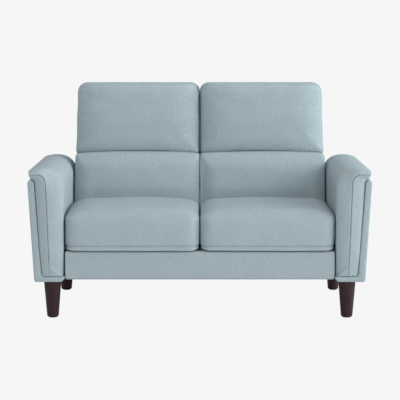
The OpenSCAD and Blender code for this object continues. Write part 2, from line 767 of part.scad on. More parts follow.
module arm_pad(side) {
  pocket_w = arm_frame_t + 2 * fit;
  pocket_l = arm_frame_l + 2 * fit;
  rear_r = arm_rear_r;
  color(fabric_rgb) on_side(side) difference() {
    loft(
      concat(
        [for (s = front_ring_shares) arm_front_ring(s)],
        [arm_ring(front_y + arm_top_round + arm_side_round / 2, 0)],
        [for (s = rear_ring_shares) arm_ring(arm_rear_y - s * rear_r, round_inset(rear_r, s * rear_r))]
      ),
      len(arm_section) - 1
    );
    translate([arm_frame_x0 - fit, arm_frame_y0 - fit, pad_bottom_z - over])
      cube([pocket_w, pocket_l, arm_frame_h + over + fit]);
    for (y = arm_bolt_ys)
      translate([inner_x - over, y, arm_bolt_z]) rotate([0, 90, 0])
        cylinder(d = bolt_d + 2 * bolt_gap, h = arm_frame_x + 2 * over, $fn = small_fn);
  }
}

// Plywood arm frame with two windows between its posts and rails
module arm_frame(side) {
  window_l = (arm_frame_l - 3 * arm_frame_rail) / 2;
  window_h = arm_frame_h - 2 * arm_frame_rail;
  r = arm_frame_corner_r;
  color(ply_rgb) on_side(side) difference() {
    along_x(arm_frame_x0, arm_frame_t) translate([arm_frame_y0, arm_frame_z0]) difference() {
      square([arm_frame_l, arm_frame_h]);
      for (i = [0, 1])
        translate([arm_frame_rail + i * (window_l + arm_frame_rail), arm_frame_rail])
          soft_rect(window_l, window_h, [r, r, r, r]);
    }
    for (y = arm_bolt_ys)
      translate([arm_frame_x0 - over, y, arm_bolt_z]) rotate([0, 90, 0])
        cylinder(d = bolt_d + 2 * bolt_gap, h = arm_bolt_in + over + bolt_gap, $fn = small_fn);
    for (y = [leg_front_y, leg_rear_y])
      translate([leg_centre_x, y, arm_frame_z0 - over])
        cylinder(d = bolt_d + 2 * bolt_gap, h = leg_bolt_up + over + bolt_gap, $fn = small_fn);
  }
}

// A hexagon bolt with a washer. Its head's washer bears on Z = 0 and its shank points up.
module hex_bolt(reach) {
  translate([0, 0, -washer_t - bolt_head_t - fit]) cylinder(d = bolt_head_d, h = bolt_head_t, $fn = 6);
  translate([0, 0, -washer_t - fit]) cylinder(d = washer_d, h = washer_t, $fn = small_fn);
  translate([0, 0, -washer_t - fit]) cylinder(d = bolt_d, h = reach + washer_t + fit, $fn = small_fn);
}

module arm_bolts() {
  reach = arm_frame_x0 + arm_bolt_in - side_rail_x0;
  color(steel_rgb) for (s = [-1, 1], y = arm_bolt_ys)
    on_side(s) translate([side_rail_x0, y, arm_bolt_z]) rotate([0, 90, 0]) hex_bolt(reach);
}

// Legs

module leg(side, y) {
  h = leg_top_z - leg_bottom_z;
  foot_x = leg_foot_d / 2 - leg_foot_r;
  foot_steps = 6;
  foot_round = [for (i = [0 : foot_steps])
    let (a = 90 * (i / foot_steps - 1)) [foot_x + leg_foot_r * cos(a), leg_foot_r + leg_foot_r * sin(a)]];
  color(wood_rgb) translate([side * leg_centre_x, y, leg_bottom_z]) difference() {
    rotate_extrude($fn = round_fn) polygon(concat([[0, 0]], foot_round, [[leg_top_d / 2, h], [0, h]]));
    translate([0, 0, h - leg_bolt_down])
      cylinder(d = bolt_d + 2 * bolt_gap, h = leg_bolt_down + over, $fn = small_fn);
    translate([0, 0, -over])
      cylinder(d = glide_pin_d + 2 * bolt_gap, h = glide_pin_l + over + fit, $fn = small_fn);
  }
}

module at_legs() {
  for (s = [-1, 1], y = [leg_front_y, leg_rear_y]) translate([s * leg_centre_x, y, 0]) children();
}

module leg_plates() {
  color(steel_rgb) at_legs() translate([0, 0, base_z + fit]) difference() {
    translate([-leg_plate_w / 2, -leg_plate_w / 2, 0]) cube([leg_plate_w, leg_plate_w, leg_plate_t]);
    translate([0, 0, -over]) cylinder(d = bolt_d + fit, h = leg_plate_t + 2 * over, $fn = small_fn);
  }
}

module leg_bolts() {
  foot_z = leg_top_z - leg_bolt_down + bolt_gap;
  color(steel_rgb) at_legs() translate([0, 0, foot_z])
    cylinder(d = bolt_d, h = arm_frame_z0 + leg_bolt_up - foot_z, $fn = small_fn);
}

module leg_glides() {
  color(black_rgb) at_legs() {
    cylinder(d = glide_d, h = glide_t, $fn = round_fn);
    cylinder(d = glide_pin_d, h = glide_t + glide_pin_l, $fn = small_fn);
  }
}

// Backs

// Side outline of a back, drawn in by an inset on its rear, top and bottom, and open at its pad plane
module back_outline(inset, front_gap) {
  r = back_top_r - inset;
  z0 = back_z + inset;
  z1 = overall_h - inset;
  round_z = overall_h - back_top_r;
  in_y = inset / cos(back_lean);
  round_y = rear_y(round_z) - back_top_r / cos(back_lean);
  front = function (z) pad_plane_y(z) + front_gap;
  tangent = [round_y + r * cos(back_lean), round_z - r * sin(back_lean)];
  polygon([
    [front(z0), z0], [rear_y(z0) - in_y, z0], tangent, [round_y, round_z], [round_y, z1], [front(z1), z1]
  ]);
  translate([round_y, round_z]) circle(r, $fn = round_fn);
}

// The space of a back drawn in by an inset, with rounded corners at its top, seen from the front
module back_block(inset, front_gap) {
  r = pad_corner_r - inset;
  intersection() {
    along_x(back_x0 + inset, back_w - 2 * inset) back_outline(inset, front_gap);
    along_y(0, overall_d) translate([back_x0 + inset, back_z])
      soft_rect(back_w - 2 * inset, overall_h - inset - back_z, [0, 0, r, r]);
  }
}

module back_cover(side) {
  color(fabric_rgb) on_side(side) difference() {
    back_block(0, fit);
    back_block(cover_t, -over);
  }
}

// A cross rail of the back frame that follows the lean, from its lower to its upper height
module leaning_rail(z0, z1, front_gap, depth) {
  along_x(back_x0 + cover_t + fit, back_w - 2 * (cover_t + fit)) polygon([
    [pad_plane_y(z0) + front_gap, z0], [pad_plane_y(z0) + front_gap + depth, z0],
    [pad_plane_y(z1) + front_gap + depth, z1], [pad_plane_y(z1) + front_gap, z1]
  ]);
}

frame_front_gap = strap_t + 2 * fit;

module back_side_board(x) {
  inset = cover_t + fit;
  window_share = 0.32;
  windows = [
    [sill_top_z + back_rail_h / 2, crease_back_z - back_rail_h],
    [crease_back_z + back_rail_h, overall_h - 2 * back_rail_h]
  ];
  along_x(x, back_board_t) difference() {
    back_outline(inset, frame_front_gap);
    for (zs = windows) {
      inner = back_frame_d * window_share;
      polygon([
        [pad_plane_y(zs[0]) + inner, zs[0]], [rear_y(zs[0]) - inner, zs[0]],
        [rear_y(zs[1]) - inner, zs[1]], [pad_plane_y(zs[1]) + inner, zs[1]]
      ]);
    }
  }
}

module back_frame(side) {
  x0 = back_x0 + cover_t + fit;
  rail_d = back_rail_h / 2;
  color(ply_rgb) on_side(side) difference() {
    union() {
      intersection() {
        union() {
          back_side_board(x0);
          back_side_board(back_x0 + back_w - cover_t - fit - back_board_t);
        }
        back_block(cover_t + fit, 0);
      }
      translate([x0, sill_y, frame_bottom_z]) cube([back_w - 2 * (cover_t + fit), back_sill_d, back_rail_h]);
      leaning_rail(crease_back_z - back_rail_h / 2, crease_back_z + back_rail_h / 2, frame_front_gap, rail_d);
      leaning_rail(frame_top_z - back_top_r - back_rail_h, frame_top_z - back_top_r, frame_front_gap, rail_d);
    }
    for (x = back_bolt_xs)
      translate([x, sill_y - over, back_bolt_z]) rotate([-90, 0, 0])
        cylinder(d = bolt_d + 2 * bolt_gap, h = back_bolt_in + over + bolt_gap, $fn = small_fn);
  }
}

module back_bolts() {
  color(steel_rgb) for (s = [-1, 1], x = back_bolt_xs)
    translate([s * x, rear_rail_y0, back_bolt_z]) rotate([-90, 0, 0]) hex_bolt(rail_t + fit + back_bolt_in);
}

module back_webbing(side) {
  span0 = lumbar_z + strap_w;
  span1 = frame_top_z - back_top_r - strap_w / 2;
  step = (span1 - span0) / (strap_count - 1);
  color(black_rgb) on_side(side)
    for (i = [0 : strap_count - 1]) {
      z = span0 + i * step;
      leaning_rail(z - strap_w / 2, z + strap_w / 2, fit, strap_t);
    }
}

// Pads stand on the leaning pad plane: a pillow's height turns into depth towards the front
function on_back(rings, x, z, h, bow, bow_top) = [
  for (r = rings) [
    for (p = r)
      let (
        up = p[1] / h + 1 / 2,
        lift = bow * (1 - pow(2 * p[0] / back_w, 2)) * (bow_top ? up : 1 - up),
        pz = z + p[1] + h / 2
      )
      [x + p[0], pad_plane_y(pz) - p[2], pz + lift]
  ]
];

function lumbar_rings() = on_back(
  pillow_rings(lumbar_w, lumbar_h, lumbar_t, [crease_corner_r, pad_corner_r], pad_pull,
    [pad_side_roll, lumbar_top_roll, lumbar_foot_roll], [pad_side_drop, lumbar_top_drop, lumbar_foot_drop],
    [pad_dome, pad_dome * pad_rise_share], pad_low_rings),
  lumbar_x0 + lumbar_w / 2, lumbar_z, lumbar_h, crease_bow, true);

function headrest_rings() = on_back(
  pillow_rings(headrest_w, headrest_h, headrest_t, [pad_corner_r, crease_corner_r], pad_pull,
    [pad_side_roll, headrest_top_roll, headrest_foot_roll],
    [pad_side_drop, headrest_top_drop, headrest_foot_drop],
    [pad_dome, pad_dome * pad_rise_share], pad_low_rings),
  headrest_x0 + headrest_w / 2, headrest_z, headrest_h, crease_bow, false);

module lumbar_pad(side) { color(fabric_rgb) on_side(side) loft(lumbar_rings(), ring_pair_sum); }
module headrest_pad(side) { color(fabric_rgb) on_side(side) loft(headrest_rings(), ring_pair_sum); }

// Seat cushions

module cushion_form() {
  translate([cushion_x0 + cushion_w / 2, cushion_y0 + cushion_d / 2, seat_z])
    loft(
      pillow_rings(
        cushion_w, cushion_d, cushion_t, [cushion_corner_r, cushion_corner_r], cushion_pull,
        [cushion_side_roll, cushion_side_roll, cushion_front_roll],
        [cushion_side_drop, cushion_side_drop, cushion_front_drop],
        [cushion_dome, cushion_front_dome], cushion_low_rings
      ),
      ring_pair_sum
    );
}

module core_block(gap) {
  r = cushion_corner_r;
  translate([cushion_x0 + wrap_t - gap, cushion_y0 + wrap_t - gap, seat_z + wrap_t - gap])
    linear_extrude(core_t + 2 * gap) soft_rect(core_w + 2 * gap, core_d + 2 * gap, [r, r, r, r]);
}

module seat_cushion(side) {
  color(fabric_rgb) on_side(side) difference() {
    cushion_form();
    core_block(fit);
    translate([cushion_x0 + cushion_w / 2 - zip_l / 2 - fit, zip_y - fit, zip_z - zip_w / 2 - fit])
      cube([zip_l + 2 * fit, zip_t + cushion_pull + over, zip_w + 2 * fit]);
  }
}

module foam_core(side) { color(foam_rgb) on_side(side) core_block(0); }

// The zip's closed teeth on their tape, with the slider at one end
module cushion_zip(side) {
  slider_l = 2 * zip_w;
  x0 = cushion_x0 + cushion_w / 2 - zip_l / 2;
  color(seam_rgb) on_side(side) translate([x0, zip_y, zip_z - zip_w / 2]) {
    cube([zip_l, zip_t, zip_w]);
    translate([slider_l / 2, 0, zip_w / 4]) cube([slider_l, zip_t + cushion_pull / 2, zip_w / 2]);
  }
}

front_rail_board();
rear_rail_board();
side_rail(-1);  // side_rail_left
side_rail(1);  // side_rail_right
centre_rail();
corner_blocks();
front_rail_cover();
seat_springs(-1);  // seat_springs_left
seat_springs(1);  // seat_springs_right
spring_clips();
seat_deck();
dust_cover();
arm_shell(-1);  // arm_shell_left
arm_shell(1);  // arm_shell_right
arm_pad(-1);  // arm_pad_left
arm_pad(1);  // arm_pad_right
arm_frame(-1);  // arm_frame_left
arm_frame(1);  // arm_frame_right
arm_bolts();
leg(-1, leg_front_y);  // leg_front_left
leg(1, leg_front_y);  // leg_front_right
leg(-1, leg_rear_y);  // leg_rear_left
leg(1, leg_rear_y);  // leg_rear_right
leg_plates();
leg_bolts();
leg_glides();
back_frame(-1);  // back_frame_left
back_frame(1);  // back_frame_right
back_bolts();
back_cover(-1);  // back_cover_left
back_cover(1);  // back_cover_right
back_webbing(-1);  // back_webbing_left
back_webbing(1);  // back_webbing_right
lumbar_pad(-1);  // lumbar_pad_left
lumbar_pad(1);  // lumbar_pad_right
headrest_pad(-1);  // headrest_pad_left
headrest_pad(1);  // headrest_pad_right
seat_cushion(-1);  // seat_cushion_left
seat_cushion(1);  // seat_cushion_right
foam_core(-1);  // foam_core_left
foam_core(1);  // foam_core_right
cushion_zip(-1);  // cushion_zip_left
cushion_zip(1);  // cushion_zip_right
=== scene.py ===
import math

import bmesh
import bpy
import numpy as np
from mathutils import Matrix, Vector, noise


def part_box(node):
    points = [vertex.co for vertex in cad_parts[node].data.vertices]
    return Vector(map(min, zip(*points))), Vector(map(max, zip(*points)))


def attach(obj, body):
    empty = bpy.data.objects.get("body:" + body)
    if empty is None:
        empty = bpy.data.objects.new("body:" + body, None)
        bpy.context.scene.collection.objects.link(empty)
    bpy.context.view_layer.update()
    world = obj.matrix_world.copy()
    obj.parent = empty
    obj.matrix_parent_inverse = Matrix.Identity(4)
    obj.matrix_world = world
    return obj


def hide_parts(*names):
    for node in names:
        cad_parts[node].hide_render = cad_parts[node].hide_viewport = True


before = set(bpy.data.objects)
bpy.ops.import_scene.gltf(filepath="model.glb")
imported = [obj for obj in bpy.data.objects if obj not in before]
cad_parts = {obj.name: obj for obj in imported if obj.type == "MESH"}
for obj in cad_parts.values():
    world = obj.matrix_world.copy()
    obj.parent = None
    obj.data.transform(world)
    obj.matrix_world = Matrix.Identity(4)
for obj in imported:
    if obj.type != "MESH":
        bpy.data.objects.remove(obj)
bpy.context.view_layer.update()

SIDES = {"left": -1, "right": 1}
SETTEE = "settee"
CUSHION_BODY = {"left": "left_cushion", "right": "right_cushion"}

# Camera, placed as the photograph was taken
CAMERA_Y = -7.130
CAMERA_Z = 1.266
CAMERA_PITCH = math.radians(6.43)
FOCAL_SHARE = 1588.7 / 400
SENSOR = 0.036
PRINCIPAL_SHIFT = 0.2 / 400

# Soft forms
VOXEL = 0.006
FINE_VOXEL = 0.0045
SIM_FRAMES = 20
SIM_PRESSURE = 4.0
SIM_QUALITY = 4
SIM_MASS = 0.3
SIM_STRETCH = 40
SIM_SHEAR = 20
SIM_BEND = 2.0
SIM_CAP = 0.0014
SEED_SPACING = 10.0
MERGE_DISTANCE = 1e-6


# Meshes

def new_object(name, verts, faces):
    mesh = bpy.data.meshes.new(name)
    mesh.from_pydata([tuple(v) for v in verts], [], faces)
    mesh.update()
    piece = bpy.data.objects.new(name, mesh)
    bpy.context.scene.collection.objects.link(piece)
    return piece


def shade_smooth(piece):
    piece.data.polygons.foreach_set("use_smooth", [True] * len(piece.data.polygons))


def vertex_vectors(piece, field):
    values = np.zeros(len(piece.data.vertices) * 3)
    piece.data.vertices.foreach_get(field, values)
    return values.reshape(-1, 3)


def points(piece):
    return vertex_vectors(piece, "co")


def normals(piece):
    return vertex_vectors(piece, "normal")


def set_points(piece, co):
    piece.data.vertices.foreach_set("co", co.reshape(-1))
    piece.data.update()


def face_outwards(piece):
    bm = bmesh.new()
    bm.from_mesh(piece.data)
    bmesh.ops.recalc_face_normals(bm, faces=bm.faces)
    bm.to_mesh(piece.data)
    bm.free()


def apply_modifiers(piece):
    bpy.context.view_layer.update()
    graph = bpy.context.evaluated_depsgraph_get()
    mesh = bpy.data.meshes.new_from_object(piece.evaluated_get(graph))
    old = piece.data
    piece.modifiers.clear()
    piece.data = mesh
    bpy.data.meshes.remove(old)


def outer_island(piece):
    """Keeps only the widest of a mesh's closed skins, which is the outermost."""
    bm = bmesh.new()
    bm.from_mesh(piece.data)
    bmesh.ops.remove_doubles(bm, verts=bm.verts, dist=MERGE_DISTANCE)
    left = set(bm.verts)
    islands = []
    while left:
        stack = [left.pop()]
        island = set(stack)
        while stack:
            for edge in stack.pop().link_edges:
                for vert in edge.verts:
                    if vert in left:
                        left.discard(vert)
                        island.add(vert)
                        stack.append(vert)
        islands.append(island)
    spans = [max(v.co.x for v in s) - min(v.co.x for v in s) for s in islands]
    keep = islands[spans.index(max(spans))]
    bmesh.ops.delete(bm, geom=[v for v in bm.verts if v not in keep], context="VERTS")
    bm.to_mesh(piece.data)
    bm.free()


def cad_copy(node, name):
    piece = bpy.data.objects.new(name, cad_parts[node].data.copy())
    piece.data.materials.clear()
    bpy.context.scene.collection.objects.link(piece)
    outer_island(piece)
    return piece


def remesh(piece, voxel):
    step = piece.modifiers.new("remesh", "REMESH")
    step.mode = "VOXEL"
    step.voxel_size = voxel
    apply_modifiers(piece)


def relax(piece, rounds):
    step = piece.modifiers.new("relax", "SMOOTH")
    step.iterations = rounds
    step.factor = 0.5
    apply_modifiers(piece)


def subdivide(piece):
    step = piece.modifiers.new("subdivide", "SUBSURF")
    step.levels = 1
    step.render_levels = 1
    apply_modifiers(piece)


def fit_box(piece, low, high):
    """Stretches a piece to fill a box again after smoothing has shrunk it."""
    co = points(piece)
    was_low, was_high = co.min(0), co.max(0)
    low, high = np.array(low), np.array(high)
    set_points(piece, low + (co - was_low) * (high - low) / (was_high - was_low))


def inflate(piece):
    """Cloth under pressure, with no gravity. No point ends further than SIM_CAP from where it began."""
    start = points(piece)
    cloth = piece.modifiers.new("cloth", "CLOTH")
    cloth.settings.quality = SIM_QUALITY
    cloth.settings.mass = SIM_MASS
    cloth.settings.tension_stiffness = SIM_STRETCH
    cloth.settings.compression_stiffness = SIM_STRETCH
    cloth.settings.shear_stiffness = SIM_SHEAR
    cloth.settings.bending_stiffness = SIM_BEND
    cloth.settings.use_pressure = True
    cloth.settings.uniform_pressure_force = SIM_PRESSURE
    cloth.settings.effector_weights.gravity = 0
    cloth.collision_settings.use_collision = False
    cloth.collision_settings.use_self_collision = False
    cloth.point_cache.frame_start = 1
    cloth.point_cache.frame_end = SIM_FRAMES
    for step in range(1, SIM_FRAMES + 1):
        bpy.context.scene.frame_set(step)
    apply_modifiers(piece)
    bpy.context.scene.frame_set(1)
    move = points(piece) - start
    length = np.linalg.norm(move, axis=1, keepdims=True)
    set_points(piece, start + move * np.minimum(1, SIM_CAP / np.maximum(length, 1e-9)))


def plumped(piece):
    """Fills a form out with cloth under pressure and stretches it back into the form's own box."""
    form = points(piece)
    remesh(piece, VOXEL)
    relax(piece, 3)
    inflate(piece)
    relax(piece, 2)
    subdivide(piece)
    fit_box(piece, form.min(0), form.max(0))
    shade_smooth(piece)
    return piece


def soft_panel(node, voxel=VOXEL, rounds=4):
    """A cover over a pad with the node's own form, its edges softened."""
    piece = cad_copy(node, node + "_cover")
    remesh(piece, voxel)
    relax(piece, rounds)
    low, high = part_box(node)
    fit_box(piece, low, high)
    shade_smooth(piece)
    weave_coordinates(piece, (1, 0, 0), (0, 0, 1), (0, -1, 0), -low.y)
    return piece


# Shaping

def smooth_step(value, low, high):
    """0 up to low and 1 from high, with a smooth rise between them."""
    t = np.clip((value - low) / (high - low), 0, 1)
    return t * t * (3 - 2 * t)


def fade(value, low, high):
    """1 up to low and 0 from high, with a smooth fall between them."""
    return 1 - smooth_step(value, low, high)


def outer_share(co, low, high):
    """How far each point lies from the settee's middle, as a share of the box's reach."""
    return np.clip(np.abs(co[:, 0]) / max(abs(low.x), abs(high.x)), 0, 1)


def height_share(co, low, high):
    return np.clip((co[:, 2] - low.z) / (high.z - low.z), 0, 1)


def move_outwards(co, distance):
    """Moves points away from the settee's middle."""
    co[:, 0] += np.sign(co[:, 0]) * distance


def groove(piece, distance, depth, width, where):
    """Presses a soft line into a skin, where the distance to it is small."""
    co = points(piece)
    share = np.exp(-(distance / width) ** 2) * where
    set_points(piece, co - normals(piece) * (depth * share)[:, None])


def ripple(piece, size, height, seed, stretch=(1, 1, 1)):
    """Small seeded unevenness of a hand-made cover."""
    co = points(piece)
    shift = Vector((seed * SEED_SPACING, 0, 0))
    scale = Vector(stretch) / size
    rise = np.array([noise.noise(Vector(c) * scale + shift) for c in co]) * height
    set_points(piece, co + normals(piece) * rise[:, None])


# The edges beside a joint between two cushions or pads
EDGE_REACH = 0.012
EDGE_SHARE = 0.45


def sharpened(distance):
    """Draws points near a joint closer to it, so that a rounded edge leaves a thinner line."""
    return distance * (EDGE_SHARE + (1 - EDGE_SHARE) * smooth_step(distance, 0, EDGE_REACH))


def sharpen_inner_edge(co):
    co[:, 0] = np.sign(co[:, 0]) * sharpened(np.abs(co[:, 0]))


# Shares of a normal along a direction between which a face turns into a side
SIDE_TURN = (0.25, 0.85)


def weave_coordinates(piece, across, up, out, front):
    """Stores, for each point, where its thread crossing lies on the flat cloth, in metres. across, up and
    out are the directions of the piece's face, and front is how far out that face lies."""
    co = points(piece)
    no = normals(piece)
    mid = (co.max(0) + co.min(0)) / 2
    back = front - co @ np.array(out)
    flat = np.zeros((len(co), 3), np.float32)
    for column, direction in enumerate((across, up)):
        place = (co - mid) @ np.array(direction)
        side = smooth_step(np.abs(no @ np.array(direction)), *SIDE_TURN)
        flat[:, column] = place + np.sign(place) * back * side
    layer = piece.data.attributes.new("weave", "FLOAT_VECTOR", "POINT")
    layer.data.foreach_set("vector", flat.reshape(-1))


def finish_piece(piece, material, body, node=None):
    """Gives a piece its material and slot, attaches it to the body it rides on and hides the node that it
    stands for."""
    piece.data.materials.clear()
    piece.data.materials.append(material)
    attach(piece, body)
    if node:
        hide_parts(node)


def finish_cover(piece, node, body=SETTEE):
    finish_piece(piece, fabric, body, node)


# Materials

# A colour mix's sockets, by number, because its number and colour sockets share their names
MIX_SHARE = 0
MIX_COLOR_A = 6
MIX_COLOR_B = 7
MIX_COLOR_RESULT = 2


def new_material(name, color, roughness):
    material = bpy.data.materials.new(name)
    material.use_nodes = True
    shader = material.node_tree.nodes["Principled BSDF"]
    shader.inputs["Base Color"].default_value = (*color, 1)
    shader.inputs["Roughness"].default_value = roughness
    return material, material.node_tree, shader


def add_node(tree, kind, inputs=None, **settings):
    """A node with its settings and its inputs. An input is a plain value or another node's output."""
    node = tree.nodes.new(kind)
    for key, value in settings.items():
        setattr(node, key, value)
    for key, value in (inputs or {}).items():
        if isinstance(value, bpy.types.NodeSocket):
            tree.links.new(value, node.inputs[key])
        else:
            node.inputs[key].default_value = value
    return node


def scaled(tree, vector, scale):
    return add_node(tree, "ShaderNodeMapping", {"Vector": vector, "Scale": scale}).outputs["Vector"]


def math_node(tree, operation, *values):
    return add_node(tree, "ShaderNodeMath", dict(enumerate(values)), operation=operation).outputs[0]


def noise_value(tree, place, scale, detail, roughness=0.5):
    inputs = {"Vector": place, "Scale": scale, "Detail": detail, "Roughness": roughness}
    return add_node(tree, "ShaderNodeTexNoise", inputs).outputs[0]


def spread(tree, value, start, end, low=0.0, high=1.0):
    """Maps a value's span from start to end onto low to high."""
    inputs = {"Value": value, "From Min": start, "From Max": end, "To Min": low, "To Max": high}
    return add_node(tree, "ShaderNodeMapRange", inputs).outputs[0]


def color_mix(tree, share, a, b):
    """Mixes two colours, each three numbers or another node's output."""
    inputs = {MIX_SHARE: share}
    for key, color in ((MIX_COLOR_A, a), (MIX_COLOR_B, b)):
        inputs[key] = color if isinstance(color, bpy.types.NodeSocket) else (*color, 1)
    return add_node(tree, "ShaderNodeMix", inputs, data_type="RGBA").outputs[MIX_COLOR_RESULT]


def set_bump(tree, shader, height, strength, distance):
    bump = add_node(tree, "ShaderNodeBump", {"Strength": strength, "Distance": distance, "Height": height})
    tree.links.new(bump.outputs[0], shader.inputs["Normal"])


CLOTH = (0.335, 0.414, 0.449)
CLOTH_DARK = (0.256, 0.329, 0.365)
CLOTH_LIGHT = (0.475, 0.55, 0.585)
THREAD_PITCH = 0.0019
SLUB_LENGTH = 0.015
SLUB_HEIGHT = 0.0026


def upholstery(name):
    """Heathered plain weave: two crossing threads, slubs along the weft and a soft fuzz."""
    material, tree, shader = new_material(name, CLOTH, 0.92)
    cloth = add_node(tree, "ShaderNodeAttribute", attribute_name="weave").outputs["Vector"]
    slubs = noise_value(tree, scaled(tree, cloth, (1 / SLUB_LENGTH, 1 / SLUB_HEIGHT, 1)), 1.0, 3.0)
    warps = noise_value(tree, scaled(tree, cloth, (1 / SLUB_HEIGHT, 1 / SLUB_LENGTH, 1)), 0.9, 2.0)
    patches = noise_value(tree, cloth, 14.0, 3.0)
    color = color_mix(tree, spread(tree, slubs, 0.52, 0.78), CLOTH, CLOTH_LIGHT)
    color = color_mix(tree, spread(tree, warps, 0.5, 0.8, high=0.7), color, CLOTH_DARK)
    color = color_mix(tree, spread(tree, patches, 0.3, 0.7, high=0.25), color, CLOTH_DARK)
    tree.links.new(color, shader.inputs["Base Color"])
    turns = 2 * math.pi / THREAD_PITCH
    split = add_node(tree, "ShaderNodeSeparateXYZ", {"Vector": cloth})
    weft = math_node(tree, "SINE", math_node(tree, "MULTIPLY", split.outputs["X"], turns))
    warp = math_node(tree, "SINE", math_node(tree, "MULTIPLY", split.outputs["Y"], turns))
    weave = math_node(tree, "MULTIPLY", math_node(tree, "MULTIPLY", weft, warp), 0.35)
    set_bump(tree, shader, math_node(tree, "ADD", weave, slubs), 0.35, 0.0012)
    shader.inputs["Sheen Weight"].default_value = 0.08
    shader.inputs["Sheen Roughness"].default_value = 0.5
    shader.inputs["Sheen Tint"].default_value = (*CLOTH_LIGHT, 1)
    shader.inputs["Specular IOR Level"].default_value = 0.25
    return material


WOOD_DARK = (0.013, 0.0044, 0.0058)
WOOD_LIGHT = (0.035, 0.0122, 0.016)


def grained(name, dark, light, scale, roughness, gloss=0.5):
    """Wood with fine pores. Its grain runs along the axis that has the smallest scale."""
    material, tree, shader = new_material(name, light, roughness)
    place = add_node(tree, "ShaderNodeTexCoord").outputs["Object"]
    grain = noise_value(tree, scaled(tree, place, scale), 1.0, 6.0, roughness=0.6)
    pores = noise_value(tree, scaled(tree, place, tuple(4 * s for s in scale)), 1.0, 3.0)
    color = color_mix(tree, spread(tree, grain, 0.35, 0.65), dark, light)
    color = color_mix(tree, spread(tree, pores, 0.55, 0.75, high=0.5), color, dark)
    tree.links.new(color, shader.inputs["Base Color"])
    rough = spread(tree, grain, 0, 1, roughness - 0.06, roughness + 0.08)
    tree.links.new(rough, shader.inputs["Roughness"])
    set_bump(tree, shader, pores, 0.12, 0.0004)
    shader.inputs["Specular IOR Level"].default_value = gloss
    return material


def speckled(name, dark, light, size, roughness, metallic=0.0, bump_depth=0.0003):
    """A finish with a fine even mottle: metal, plastic, felt or foam."""
    material, tree, shader = new_material(name, light, roughness)
    place = add_node(tree, "ShaderNodeTexCoord").outputs["Object"]
    grain = noise_value(tree, place, 1 / size, 4.0)
    tree.links.new(color_mix(tree, grain, dark, light), shader.inputs["Base Color"])
    rough = spread(tree, grain, 0, 1, roughness - 0.08, roughness + 0.08)
    tree.links.new(rough, shader.inputs["Roughness"])
    set_bump(tree, shader, grain, 0.3, bump_depth)
    shader.inputs["Metallic"].default_value = metallic
    return material


fabric = upholstery("heathered upholstery")
leg_wood = grained("espresso stained wood", WOOD_DARK, WOOD_LIGHT, (260, 260, 18), 0.5, gloss=0.28)
timber = grained("planed softwood", (0.42, 0.26, 0.12), (0.62, 0.44, 0.25), (12, 160, 160), 0.7)
plywood = grained("cut plywood", (0.45, 0.30, 0.15), (0.66, 0.49, 0.29), (160, 14, 60), 0.7)
spring_steel = speckled("drawn spring wire", (0.34, 0.34, 0.36), (0.5, 0.5, 0.52), 0.01, 0.36, metallic=1.0)
zinc = speckled("zinc plate", (0.5, 0.51, 0.52), (0.66, 0.66, 0.66), 0.006, 0.34, metallic=1.0)
nylon = speckled("black nylon", (0.015, 0.015, 0.016), (0.035, 0.035, 0.036), 0.004, 0.5)
foam = speckled("open foam", (0.72, 0.63, 0.38), (0.88, 0.81, 0.58), 0.003, 0.95, bump_depth=0.001)
zip_plastic = speckled("dyed zip", (0.20, 0.26, 0.29), (0.30, 0.37, 0.40), 0.002, 0.6)
webbing = speckled("elastic webbing", (0.012, 0.012, 0.013), (0.04, 0.04, 0.042), 0.002, 0.85)
felt = speckled("needled felt", (0.06, 0.065, 0.07), (0.15, 0.16, 0.17), 0.004, 0.97, bump_depth=0.0015)
dust_cloth = speckled("spun cloth", (0.008, 0.008, 0.009), (0.024, 0.024, 0.025), 0.003, 0.9,
                      bump_depth=0.0006)


def both(*names):
    return [name + "_" + side for name in names for side in SIDES]


NODE_MATERIALS = (
    (timber, ["front_rail_board", "rear_rail_board", "centre_rail", "corner_blocks", *both("side_rail")]),
    (plywood, both("arm_frame", "back_frame")),
    (leg_wood, both("leg_front", "leg_rear")),
    (spring_steel, both("seat_springs")),
    (zinc, ["spring_clips", "arm_bolts", "leg_plates", "leg_bolts", "back_bolts"]),
    (nylon, ["leg_glides"]),
    (webbing, both("back_webbing")),
    (foam, both("foam_core")),
    (zip_plastic, both("cushion_zip")),
)
for material, names in NODE_MATERIALS:
    for name in names:
        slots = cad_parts[name].data.materials
        slots.clear()
        slots.append(material)


# Pillow forms, as rings from the underside to the crown

CORNER_POINTS = 9
RUN_POINTS = 24
WALL_RINGS = 10
CROWN_RINGS = 26
RING_CROWDING = 1.8
INNERMOST_RING = 0.97
EDGE_BLEND = 6
SIDE_WEIGHT_LEAST = 0.02
SMALLEST_CORNER = 0.004
CORNER_SHARE = 0.8


def ring(width, depth, corners, pull):
    """Points round a rectangle whose sides draw in between its rounded corners. corners are the radii at
    its far and near ends."""
    out = []
    for k in range(4):
        sx, sy = (1, 1, -1, -1)[(k + 1) % 4], (1, 1, -1, -1)[k]
        r = corners[0 if k < 2 else 1]
        cx, cy = sx * (width / 2 - r), sy * (depth / 2 - r)
        turn = k * math.pi / 2
        run = (width if k % 2 == 0 else depth) - r - corners[0 if k in (0, 3) else 1]
        for i in range(CORNER_POINTS):
            a = turn + math.pi / 2 * i / (CORNER_POINTS - 1)
            out.append((cx + r * math.cos(a), cy + r * math.sin(a)))
        a = turn + math.pi / 2
        for i in range(1, RUN_POINTS + 1):
            t = i / (RUN_POINTS + 1)
            reach = r - pull * 4 * t * (1 - t)
            out.append((cx + reach * math.cos(a) - run * t * math.sin(a),
                        cy + reach * math.sin(a) + run * t * math.cos(a)))
    return np.array(out)


